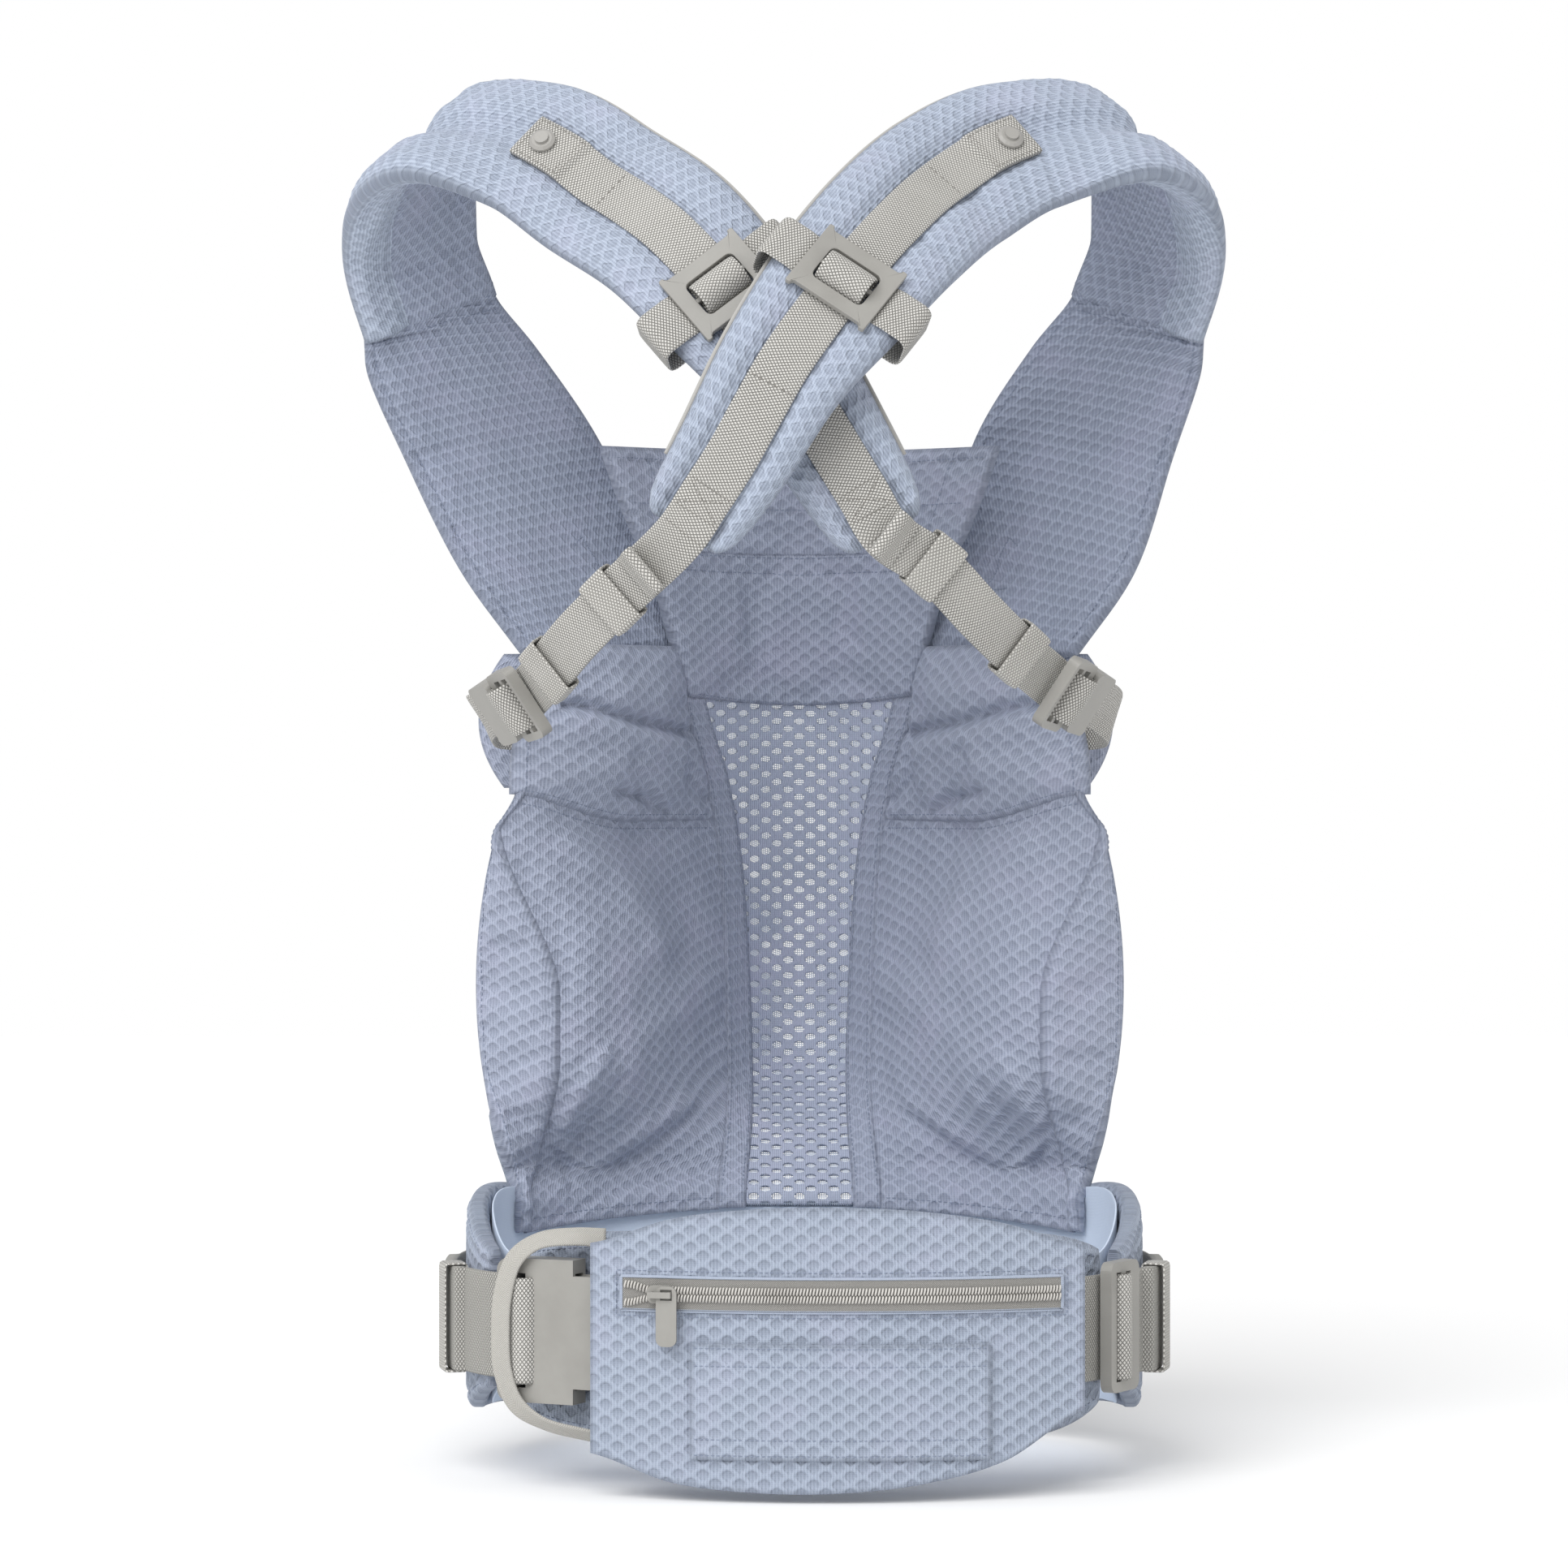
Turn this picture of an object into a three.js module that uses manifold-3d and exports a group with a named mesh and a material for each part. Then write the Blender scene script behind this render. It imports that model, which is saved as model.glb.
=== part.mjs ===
// A soft baby carrier in its worn shape: a hip belt, a bowl-shaped panel with a see-through centre,
// two padded shoulder straps that cross behind the wearer, and a storage pouch over the rear of the belt.
// Millimetres. +Z is up, +Y is the wearer's front, +X is the wearer's right.
// The origin is the centre of the wearer's waist, at the middle height of the belt.
import * as THREE from "three";
import { mergeVertices } from "three/addons/utils/BufferGeometryUtils.js";
import Module from "manifold-3d";

const wasm = await Module();
wasm.setup();

// --- driving dimensions ---------------------------------------------------------------------------

const GAP = 0.4; // clearance left between neighbouring pieces
const PAIRS = [["left", -1], ["right", 1]]; // the wearer's two sides, and the sign of X there
const WAIST = { halfWidth: 160, halfDepth: 106, centreX: 2, squareness: 2.6 };
const BELT = { halfThickness: 6, reach: 115, lining: 1.2 };
// belt edges every 23 degrees, from the middle of the wearer's front round to each end
const BELT_TOP = [43, 44, 49, 58, 54, 34];
const BELT_BOTTOM = [-58, -57, -55, -52, -48, -32];
const LUMBAR = { halfThickness: 4.5, reach: 57, top: 47, bottom: -54 };

const BOWL = { bottom: 30, top: 450, base: 102, swell: 80, skew: 0.72, edge: 45, roll: 14 };
const PANEL = { thickness: 3.6, padded: 8, meshThickness: 2, bindingWidth: 14 };
const HEAD_SUPPORT = { seam: 378, top: 429, halfWidth: 101, seamHalfWidth: 80 };
const FLAP = { bottom: 301, bottomHalfWidth: 59 };
const MESH = { bottom: 46, top: 299 };
const GUSSET = { bottom: 240, top: 325, outer: 146, front: 11, back: 2 };
const WING = { bottom: 329, thickness: 7 };
const LEG_WING = { bottom: 62, top: 251, front: 4.5, back: 4.5 };

const STRAP = { halfThickness: 6.5, halfWidth: 38 };
const WEBBING = { width: 25, thickness: 1.8 };
const KEEPER = { length: 18, width: 30, height: 9, wall: 1.3 };
const STRAP_SLIDER = { length: 40, width: 44, thickness: 3, windowLength: 33, windowWidth: 34 };
const BAND = { length: 24, wall: 1.5, room: 2.8 };

const SIDE_BUCKLE = { width: 38, thickness: 6, lock: 26, socketLength: 24, socketWidth: 33 };
const WAIST_WEBBING = { width: 50, thickness: 2, offset: 11, fold: 4.6 };
const WAIST_BUCKLE = { length: 60, width: 68, thickness: 13, turn: 25 };
const ADJUSTER = { length: 30, width: 62, thickness: 6 };

const POUCH = { centreX: 17, halfWidth: 118, face: -150, radius: 330, thin: 3, thick: 8 };
const POUCH_TOP = [44, 56, 61, 62, 60, 54, 43];
const POUCH_BOTTOM = [-54, -66, -70, -70, -66, -56, -34];
const POCKET = { left: -52, right: 88, bottom: -55, top: -1 };
const ZIP = { left: -84, right: 122, z: 21.5, halfHeight: 7.5, coil: 1.8, sliderX: -65 };

// --- small helpers --------------------------------------------------------------------------------

const point = (x, y, z) => new THREE.Vector3(x, y, z);
const mix = (a, b, t) => a + (b - a) * t;
const smooth = (a, b, x) => THREE.MathUtils.smoothstep(x, a, b);
const signedPower = (value, power) => Math.sign(value) * Math.abs(value) ** power;

// The value at t (0 to 1) of a smooth curve through evenly spaced values.
function through(values, t) {
  const curve = new THREE.SplineCurve(values.map((value, i) => new THREE.Vector2(i, value)));
  return curve.getPoint(THREE.MathUtils.clamp(t, 0, 1)).y;
}

// A closed solid that follows a surface(u, v), front and back of it along its normal.
function pad(surface, columns, rows, front, back) {
  const step = 1e-3;
  const positions = [];
  for (const side of [1, -1]) {
    for (let j = 0; j <= rows; j++) {
      for (let i = 0; i <= columns; i++) {
        const u = i / columns;
        const v = j / rows;
        const along = surface(Math.min(u + step, 1), v).sub(surface(Math.max(u - step, 0), v));
        const across = surface(u, Math.min(v + step, 1)).sub(surface(u, Math.max(v - step, 0)));
        const normal = along.cross(across).normalize();
        const depth = side > 0 ? front(u, v) : -back(u, v);
        positions.push(...surface(u, v).addScaledVector(normal, depth).toArray());
      }
    }
  }
  const layer = (columns + 1) * (rows + 1);
  const at = (i, j, side) => side * layer + j * (columns + 1) + i;
  const faces = [];
  const quad = (a, b, c, d) => faces.push(a, b, c, a, c, d);
  for (let j = 0; j < rows; j++) {
    for (let i = 0; i < columns; i++) {
      quad(at(i, j, 0), at(i + 1, j, 0), at(i + 1, j + 1, 0), at(i, j + 1, 0));
      quad(at(i, j + 1, 1), at(i + 1, j + 1, 1), at(i + 1, j, 1), at(i, j, 1));
    }
    quad(at(0, j, 1), at(0, j, 0), at(0, j + 1, 0), at(0, j + 1, 1));
    quad(at(columns, j, 0), at(columns, j, 1), at(columns, j + 1, 1), at(columns, j + 1, 0));
  }
  for (let i = 0; i < columns; i++) {
    quad(at(i, 0, 1), at(i + 1, 0, 1), at(i + 1, 0, 0), at(i, 0, 0));
    quad(at(i, rows, 0), at(i + 1, rows, 0), at(i + 1, rows, 1), at(i, rows, 1));
  }
  const geometry = new THREE.BufferGeometry();
  geometry.setAttribute("position", new THREE.Float32BufferAttribute(positions, 3));
  geometry.setIndex(faces);
  geometry.computeVertexNormals();
  return geometry;
}

// A line through stations { at, out }: out is the way the outer face looks.
class Route {
  constructor(stations) {
    this.line = new THREE.CatmullRomCurve3(stations.map((s) => point(...s.at)), false, "centripetal");
    this.faces = new THREE.CatmullRomCurve3(stations.map((s) => point(...s.out)), false, "centripetal");
    this.count = stations.length - 1;
  }

  // The frame at t (0 to 1, evenly from station to station): along, across and out.
  frame(t) {
    const along = this.line.getTangent(t);
    const across = this.faces.getPoint(t).cross(along).normalize();
    const out = along.clone().cross(across);
    return { at: this.line.getPoint(t), along, across, out };
  }

  // t of the place a distance (mm) beyond a station.
  tAt(station, distance = 0) {
    const lengths = this.line.getLengths(400);
    const index = Math.round((station / this.count) * 400);
    let here = index;
    const target = lengths[index] + distance;
    while (here < 400 && lengths[here] < target) here += 1;
    while (here > 0 && lengths[here] > target) here -= 1;
    const span = lengths[Math.min(here + 1, 400)] - lengths[here] || 1;
    return Math.min((here + (target - lengths[here]) / span) / 400, 1);
  }
}

// A band along a route: half width and its offset outwards can change along it.
function band(route, from, to, halfWidth, offset, steps, lanes, front, back) {
  const surface = (u, v) => {
    const t = mix(from, to, u);
    const { at, across, out } = route.frame(t);
    return at.addScaledVector(across, mix(-1, 1, v) * halfWidth(t)).addScaledVector(out, offset);
  };
  return pad(surface, steps, lanes, front, back);
}

// A rectangle with round corners: four quarter arcs, joined by straight sides.
function roundedRectangle(width, height, radius) {
  const shape = new THREE.Shape();
  const x = width / 2 - radius;
  const y = height / 2 - radius;
  const quarter = Math.PI / 2;
  [[x, -y], [x, y], [-x, y], [-x, -y]].forEach(([cx, cy], i) => {
    shape.absarc(cx, cy, radius, (i - 1) * quarter, i * quarter);
  });
  return shape;
}

function hole(width, height, centreX = 0, centreY = 0) {
  const path = new THREE.Path();
  path.moveTo(centreX - width / 2, centreY - height / 2);
  path.lineTo(centreX - width / 2, centreY + height / 2);
  path.lineTo(centreX + width / 2, centreY + height / 2);
  path.lineTo(centreX + width / 2, centreY - height / 2);
  return path;
}

// A shape extruded to a plate centred on its own plane.
function plate(shape, thickness, holes = []) {
  shape.holes.push(...holes);
  const geometry = new THREE.ExtrudeGeometry(shape, { depth: thickness, bevelEnabled: false, curveSegments: 3 });
  return geometry.translate(0, 0, -thickness / 2);
}

// Turns a plate drawn in its own plane so that its plane lies across a frame: x across, y out.
const ACROSS = new THREE.Matrix4().makeBasis(point(0, 1, 0), point(0, 0, 1), point(1, 0, 0));

function block(along, across, out, x = 0, y = 0, z = 0) {
  return new THREE.BoxGeometry(along, across, out).translate(x, y, z);
}

function toSolid(geometry) {
  const bare = geometry.clone();
  bare.deleteAttribute("normal");
  bare.deleteAttribute("uv");
  const merged = mergeVertices(bare, 1e-4);
  return new wasm.Manifold(new wasm.Mesh({
    numProp: 3,
    vertProperties: merged.attributes.position.array,
    triVerts: new Uint32Array(merged.index.array),
  }));
}

function fromSolid(solid) {
  const mesh = solid.getMesh();
  const geometry = new THREE.BufferGeometry();
  geometry.setAttribute("position", new THREE.BufferAttribute(mesh.vertProperties, 3));
  geometry.setIndex(new THREE.BufferAttribute(mesh.triVerts, 1));
  geometry.computeVertexNormals();
  return geometry;
}

// One body from joined pieces, with others cut away.
function build(joined, removed = []) {
  const added = joined.map(toSolid).reduce((sum, piece) => sum.add(piece));
  return fromSolid(removed.map(toSolid).reduce((rest, piece) => rest.subtract(piece), added));
}

// --- materials ------------------------------------------------------------------------------------

const FINISH = {
  knit: { color: 0xa9b9d3, roughness: 0.9 },
  mesh: { color: 0xb4c0d6, roughness: 0.9 },
  lining: { color: 0xb3c7e3, roughness: 0.75 },
  webbing: { color: 0xb9b6af, roughness: 0.8 },
  elastic: { color: 0xb5b0a8, roughness: 0.85 },
  plastic: { color: 0xa9a69e, roughness: 0.5 },
  snap: { color: 0xaaa79f, roughness: 0.45 },
  coil: { color: 0xb0aca4, roughness: 0.55 },
};

const carrier = new THREE.Group();

function add(name, geometry, finish, parent = carrier) {
  const material = new THREE.MeshStandardMaterial({ ...FINISH[finish], metalness: 0 });
  const mesh = new THREE.Mesh(geometry, material);
  mesh.name = name;
  parent.add(mesh);
  return mesh;
}

// A group whose X runs along a frame, Y across it and Z out of it.
function mountAt({ at, along, across, out }) {
  const group = new THREE.Group();
  group.position.copy(at);
  group.quaternion.setFromRotationMatrix(new THREE.Matrix4().makeBasis(along, across, out));
  carrier.add(group);
  return group;
}

// --- the ring of the waist ------------------------------------------------------------------------

// A point of the waist's ring, moved outwards; angle 0 is the wearer's right, 90 the front.
function waistPoint(degrees, outwards, z) {
  const angle = THREE.MathUtils.degToRad(degrees);
  const power = 2 / WAIST.squareness;
  const x = WAIST.centreX + (WAIST.halfWidth + outwards) * signedPower(Math.cos(angle), power);
  const y = (WAIST.halfDepth + outwards) * signedPower(Math.sin(angle), power);
  return point(x, y, z);
}

// The depth of the ring's front half at x.
function ringDepth(x) {
  const share = Math.min(Math.abs(x - WAIST.centreX) / WAIST.halfWidth, 0.985);
  return WAIST.halfDepth * (1 - share ** WAIST.squareness) ** (1 / WAIST.squareness);
}

const beltEdge = (edge, degrees) => through(edge, Math.abs(degrees - 90) / BELT.reach);

function beltSurface(outwards, inset) {
  return (u, v) => {
    const degrees = mix(90 - BELT.reach, 90 + BELT.reach, u);
    const low = beltEdge(BELT_BOTTOM, degrees) + inset;
    const high = beltEdge(BELT_TOP, degrees) - inset;
    return waistPoint(degrees, outwards, mix(low, high, v));
  };
}

function makeBelt() {
  const half = () => BELT.halfThickness;
  add("hip_belt", pad(beltSurface(0, 0), 36, 2, half, half), "knit");
  const skin = () => BELT.lining / 2;
  const inside = -BELT.halfThickness - GAP - BELT.lining / 2;
  add("belt_lining", pad(beltSurface(inside, 2), 36, 1, skin, skin), "lining");
  const lumbar = (u, v) => {
    const degrees = mix(-90 - LUMBAR.reach, -90 + LUMBAR.reach, u);
    const ends = 1 - Math.abs(2 * u - 1) ** 6;
    return waistPoint(degrees, 0, mix(LUMBAR.bottom * mix(0.7, 1, ends), LUMBAR.top * mix(0.75, 1, ends), v));
  };
  const halfPad = () => LUMBAR.halfThickness;
  add("lumbar_pad", pad(lumbar, 24, 3, halfPad, halfPad), "knit");
}

// --- the panel ------------------------------------------------------------------------------------

// Half the distance between the two creases where the leg wings roll outwards.
function creaseHalfWidth(z) {
  return 121 + 30 * smooth(150, 240, z) + 16 * (1 - smooth(50, 120, z));
}

// Half the width of the panel's outline beside the legs.
function outlineHalfWidth(z) {
  return 142 + 21 * Math.sin(Math.PI * THREE.MathUtils.clamp((z - 50) / 212, 0, 1)) ** 0.8;
}

// The bowl: how far forward the panel's fabric lies at x and z.
function bowlDepth(x, z) {
  const share = THREE.MathUtils.clamp((z - BOWL.bottom) / (BOWL.top - BOWL.bottom), 0, 1);
  const middle = BOWL.base + BOWL.swell * Math.sin(Math.PI * share ** BOWL.skew);
  const crease = creaseHalfWidth(z);
  const side = Math.min(Math.abs(x) / crease, 1);
  const past = Math.max(Math.abs(x) - crease, 0) / 40;
  const bowl = mix(BOWL.edge, middle, Math.cos((side * Math.PI) / 2) ** 2) + BOWL.roll * past;
  return mix(ringDepth(x), bowl, smooth(45, 115, z));
}

const beltTopAt = (x) => 44 + 14 * Math.min(Math.abs(x) / 140, 1) ** 2;

// Height of the seam between the side gussets and the lower panels.
const waistSeam = (x) => GUSSET.bottom + 14 * smooth(90, 146, Math.abs(x));

// A sheet of the panel between two edges x = left(z) and x = right(z).
function panelSheet(left, right, low, high, columns, rows, front, back) {
  const surface = (u, v) => {
    const x = mix(left(v), right(v), u);
    const z = mix(low(x), high(x), v);
    return point(x, bowlDepth(x, z), z);
  };
  return pad(surface, columns, rows, front, back);
}

// Edges of the see-through centre and of the binding beside it, from bottom to top.
const MESH_HALF = [28, 25, 26, 28, 31, 38, 50];
const meshHalf = (v) => through(MESH_HALF, v);
const bindingHalf = (v) => meshHalf(v) + PANEL.bindingWidth * mix(1, 0.75, v);
const shareOfMesh = (z) => (z - MESH.bottom) / (MESH.top - MESH.bottom);

function makePanelCentre() {
  const thin = () => PANEL.meshThickness / 2;
  const inner = (v) => meshHalf(v) - GAP;
  const flat = (z) => () => z;
  add("center_mesh",
    panelSheet((v) => -inner(v), inner, flat(MESH.bottom), flat(MESH.top), 6, 14, thin, thin), "mesh");
  const half = () => PANEL.thickness / 2;
  for (const [name, side] of PAIRS) {
    const near = (v) => side * (meshHalf(v) + GAP);
    const far = (v) => side * (bindingHalf(v) - GAP);
    const [a, b] = side < 0 ? [far, near] : [near, far];
    add(`binding_${name}`, panelSheet(a, b, flat(MESH.bottom), flat(MESH.top), 1, 14, half, half), "knit");
  }
}

// Half the width of the padded flap above the see-through centre.
function flapHalfWidth(z) {
  const share = (z - FLAP.bottom) / (HEAD_SUPPORT.seam - FLAP.bottom);
  return mix(FLAP.bottomHalfWidth, HEAD_SUPPORT.seamHalfWidth - 2, share);
}

function makeUpperPanel() {
  const padded = (u, v) => 1.5 + (PANEL.padded / 2 - 1.5) * Math.sin(Math.PI * u) ** 0.5 * Math.sin(Math.PI * v) ** 0.5;
  const flapHalf = (v) => flapHalfWidth(mix(FLAP.bottom, HEAD_SUPPORT.seam, v)) - GAP;
  const arc = (x) => FLAP.bottom + GAP + 4 * (Math.abs(x) / FLAP.bottomHalfWidth) ** 2 - 1;
  add("upper_flap",
    panelSheet((v) => -flapHalf(v), flapHalf, arc, () => HEAD_SUPPORT.seam - GAP, 10, 6, padded, padded), "knit");
  const headHalf = (v) => mix(HEAD_SUPPORT.seamHalfWidth, HEAD_SUPPORT.halfWidth, v ** 0.8) - GAP;
  add("head_support",
    panelSheet((v) => -headHalf(v), headHalf, () => HEAD_SUPPORT.seam + GAP, () => HEAD_SUPPORT.top, 10, 4,
      padded, padded), "knit");
}

function makeLowerPanel() {
  const half = () => PANEL.thickness / 2;
  const low = (x) => beltTopAt(x) + 2;
  const high = (x) => waistSeam(x) - 1.5;
  for (const [name, side] of PAIRS) {
    const near = (v) => side * (bindingHalf(shareOfMesh(mix(low(45), high(45), v))) + GAP);
    const far = (v) => side * (creaseHalfWidth(mix(low(140), high(140), v)) - 1.5);
    const [a, b] = side < 0 ? [far, near] : [near, far];
    add(`lower_panel_${name}`, panelSheet(a, b, low, high, 8, 10, half, half), "knit");
    const wingZ = (v) => mix(LEG_WING.bottom, LEG_WING.top, v);
    const crease = (v) => side * (creaseHalfWidth(wingZ(v)) + 0.5);
    const outline = (v) => side * Math.max(outlineHalfWidth(wingZ(v)), creaseHalfWidth(wingZ(v)) + 5);
    const [c, d] = side < 0 ? [outline, crease] : [crease, outline];
    const front = (u) => 1 + (LEG_WING.front - 1) * Math.sin(Math.PI * u);
    const back = (u) => 1 + (LEG_WING.back - 1) * Math.sin(Math.PI * u);
    add(`leg_wing_${name}`,
      panelSheet(c, d, () => LEG_WING.bottom, () => LEG_WING.top, 3, 10, front, back), "knit");
  }
}

// The puffy side pieces that hold the baby's sides and carry the side buckles.
function makeGussets() {
  for (const [name, side] of PAIRS) {
    const inner = (v) => {
      const z = mix(GUSSET.bottom, GUSSET.top, v);
      return side * (Math.max(bindingHalf(shareOfMesh(z)), flapHalfWidth(z)) + GAP + 0.4);
    };
    const outer = (v) => side * (GUSSET.outer - 22 * v ** 3);
    const [a, b] = side < 0 ? [outer, inner] : [inner, outer];
    const high = (x) => GUSSET.top - 20 * smooth(85, 140, Math.abs(x));
    const puff = (u, v) => (Math.sin(Math.PI * u) * Math.sin(Math.PI * v)) ** 0.4;
    const front = (u, v) => 1 + GUSSET.front * puff(u, v);
    const back = () => GUSSET.back;
    add(`side_gusset_${name}`, panelSheet(a, b, waistSeam, high, 8, 6, front, back), "knit");
  }
}

// --- shoulder straps ------------------------------------------------------------------------------

// Stations of the left strap's centre line, from the wing over the shoulder to the end on the back.
const LEFT_STRAP = [
  { at: [-187, 68, 494], out: [-0.31, 0.91, 0.25], half: 36 },
  { at: [-196, 48, 528], out: [-0.36, 0.72, 0.6], half: 35 },
  { at: [-180, -4, 574], out: [-0.65, -0.15, 0.75], half: 39 },
  { at: [-131, -30, 568], out: [-0.22, -0.79, 0.56], half: 39 },
  { at: [-96, -50, 544], out: [-0.15, -0.9, 0.4], half: 39 },
  { at: [-64, -76, 520], out: [-0.1, -0.93, 0.3], half: 38 },
  { at: [-37, -91, 490], out: [0, -0.97, 0.2], half: 36 },
  { at: [-8, -104, 453], out: [0, -0.99, 0.1], half: 29 },
  { at: [17, -110, 413], out: [0.02, -1, 0], half: 23 },
  { at: [40, -110, 375], out: [0.05, -1, 0], half: 19 },
];
const RIGHT_STRAP = [
  { at: [171, 68, 494], out: [0.31, 0.91, 0.25], half: 36 },
  { at: [180, 48, 528], out: [0.36, 0.72, 0.6], half: 35 },
  { at: [162, -4, 574], out: [0.65, -0.15, 0.75], half: 39 },
  { at: [107, -32, 568], out: [0.22, -0.79, 0.56], half: 39 },
  { at: [73, -56, 548], out: [0.15, -0.9, 0.4], half: 39 },
  { at: [45, -90, 521], out: [0.08, -0.95, 0.3], half: 38 },
  { at: [19, -119, 489], out: [0, -0.97, 0.2], half: 36 },
  { at: [-8, -136, 452], out: [0, -0.99, 0.1], half: 29 },
  { at: [-32, -138, 410], out: [-0.02, -1, -0.05], half: 23 },
  { at: [-55, -130, 375], out: [-0.1, -1, -0.1], half: 19 },
];
// Free part of the webbing, from the strap's end to the side buckle on the other side.
const TO_LEFT_BUCKLE = [
  { at: [-88, -107, 345], out: [-0.3, -0.93, -0.2] },
  { at: [-106, -89, 328], out: [-0.5, -0.8, -0.33] },
  { at: [-120, -67, 313], out: [-0.62, -0.62, -0.42] },
  { at: [-133, -35, 301], out: [-0.75, -0.38, -0.54] },
];
const TO_RIGHT_BUCKLE = [
  { at: [62, -106, 361], out: [0.25, -0.96, -0.15] },
  { at: [85, -89, 338], out: [0.45, -0.84, -0.3] },
  { at: [104, -66, 321], out: [0.62, -0.62, -0.42] },
  { at: [124, -35, 306], out: [0.75, -0.38, -0.54] },
];
const TAB_LENGTH = 31; // length of the doubled tab at the webbing's upper end
const SNAP_STATION = 3;
const SLIDER_STATION = 6;
const FIRST_FREE = 13; // a webbing has a station at every half station of the strap, then its free ones

// The webbing rides on the strap from just above the snap to the strap's end, then runs free.
function webbingRoute(strap, free) {
  const lift = STRAP.halfThickness + 1.5 * GAP + WEBBING.thickness / 2;
  const route = new Route(strap);
  const riding = Array.from({ length: FIRST_FREE }, (_, i) => {
    const { at, out } = route.frame((SNAP_STATION + i / 2) / route.count);
    return { at: at.addScaledVector(out, lift).toArray(), out: out.toArray() };
  });
  return new Route([...riding, ...free]);
}

function makeStrap(name, strap) {
  const route = new Route(strap);
  const halfAt = (t) => through(strap.map((s) => s.half), t);
  const half = (u, v) => STRAP.halfThickness * (1 - 0.7 * Math.abs(2 * v - 1) ** 3);
  add(`shoulder_strap_${name}`, band(route, 0.012, 1, halfAt, 0, 28, 4, half, half), "knit");
}

// Webbing from the tab at the strap's top down to the side buckle. It is doubled at the tab, and again
// where its spare end lies folded under the keepers.
function makeStrapWebbing(name, strap, free) {
  const route = webbingRoute(strap, free);
  const half = () => WEBBING.width / 2;
  const thin = WEBBING.thickness / 2;
  const tabEnd = route.tAt(0, TAB_LENGTH);
  const tailStart = route.tAt(FIRST_FREE, -22);
  const tailEnd = route.tAt(FIRST_FREE + 2, 12);
  const front = (t) => (t < tabEnd || (t > tailStart && t < tailEnd) ? thin + WEBBING.thickness : thin);
  const webbing = band(route, 0, 1, half, 0, 44, 1, front, () => thin);
  add(`strap_webbing_${name}`, webbing, "webbing");
  return route;
}

// A snap stud on the doubled tab at the top of a strap's webbing.
function makeSnap(name, webbing) {
  const place = mountAt(webbing.frame(webbing.tAt(0, 11)));
  const profile = [[0, 0], [6.5, 0], [6.5, 1.2], [5, 2.2], [3.4, 2.2], [3.4, 3.6], [0, 3.6]];
  const stud = new THREE.LatheGeometry(profile.map(([r, h]) => new THREE.Vector2(r, h)), 16);
  stud.rotateX(Math.PI / 2).translate(0, 0, 1.5 * WEBBING.thickness + GAP + 0.2);
  add(`snap_stud_${name}`, stud, "snap", place);
}

// The plastic slider on the strap's webbing and the band that ties it round the strap.
function makeStrapSlider(name, strap) {
  const route = new Route(strap);
  const t = SLIDER_STATION / route.count;
  const place = mountAt(route.frame(t));
  const { length, width, thickness, windowLength, windowWidth } = STRAP_SLIDER;
  const outline = roundedRectangle(length, width, 3);
  const bar = 2.4;
  const opening = (windowLength - bar) / 2;
  const openings = [-1, 1].map((side) => block(opening, windowWidth, 20, (side * (opening + bar)) / 2));
  const frame = build([plate(outline, thickness)], openings);
  const lift = STRAP.halfThickness + WEBBING.thickness + 3;
  add(`strap_slider_${name}`, frame.translate(0, 0, lift), "plastic", place);
  const halfWidth = STRAP.halfWidth + BAND.room;
  const halfHeight = STRAP.halfThickness + BAND.room;
  const shape = roundedRectangle(2 * (halfWidth + BAND.wall), 2 * (halfHeight + BAND.wall), 6);
  const inner = roundedRectangle(2 * halfWidth, 2 * halfHeight, 4.5);
  const points = inner.getPoints(3).reverse();
  const loop = plate(shape, BAND.length, [new THREE.Path(points)]).applyMatrix4(ACROSS);
  const front = block(BAND.length + 2, width + 1.2, 2 * halfHeight, 0, 0, 1.6 * halfHeight);
  add(`slider_band_${name}`, build([loop], [front]), "webbing", place);
}

// Elastic keepers round the webbing and its folded spare end.
function makeKeepers(name, webbing) {
  const stations = [["upper", FIRST_FREE], ["lower", FIRST_FREE + 2]];
  for (const [which, station] of stations) {
    const place = mountAt(webbing.frame(webbing.tAt(station, 0)));
    const shape = roundedRectangle(KEEPER.width, KEEPER.height, 1.5);
    const room = hole(KEEPER.width - 2 * KEEPER.wall, KEEPER.height - 2 * KEEPER.wall);
    const loop = plate(shape, KEEPER.length, [room]);
    loop.applyMatrix4(ACROSS);
    add(`keeper_${which}_${name}`, loop.translate(0, 0, 1.1), "elastic", place);
  }
}

// --- side buckles ---------------------------------------------------------------------------------

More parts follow.
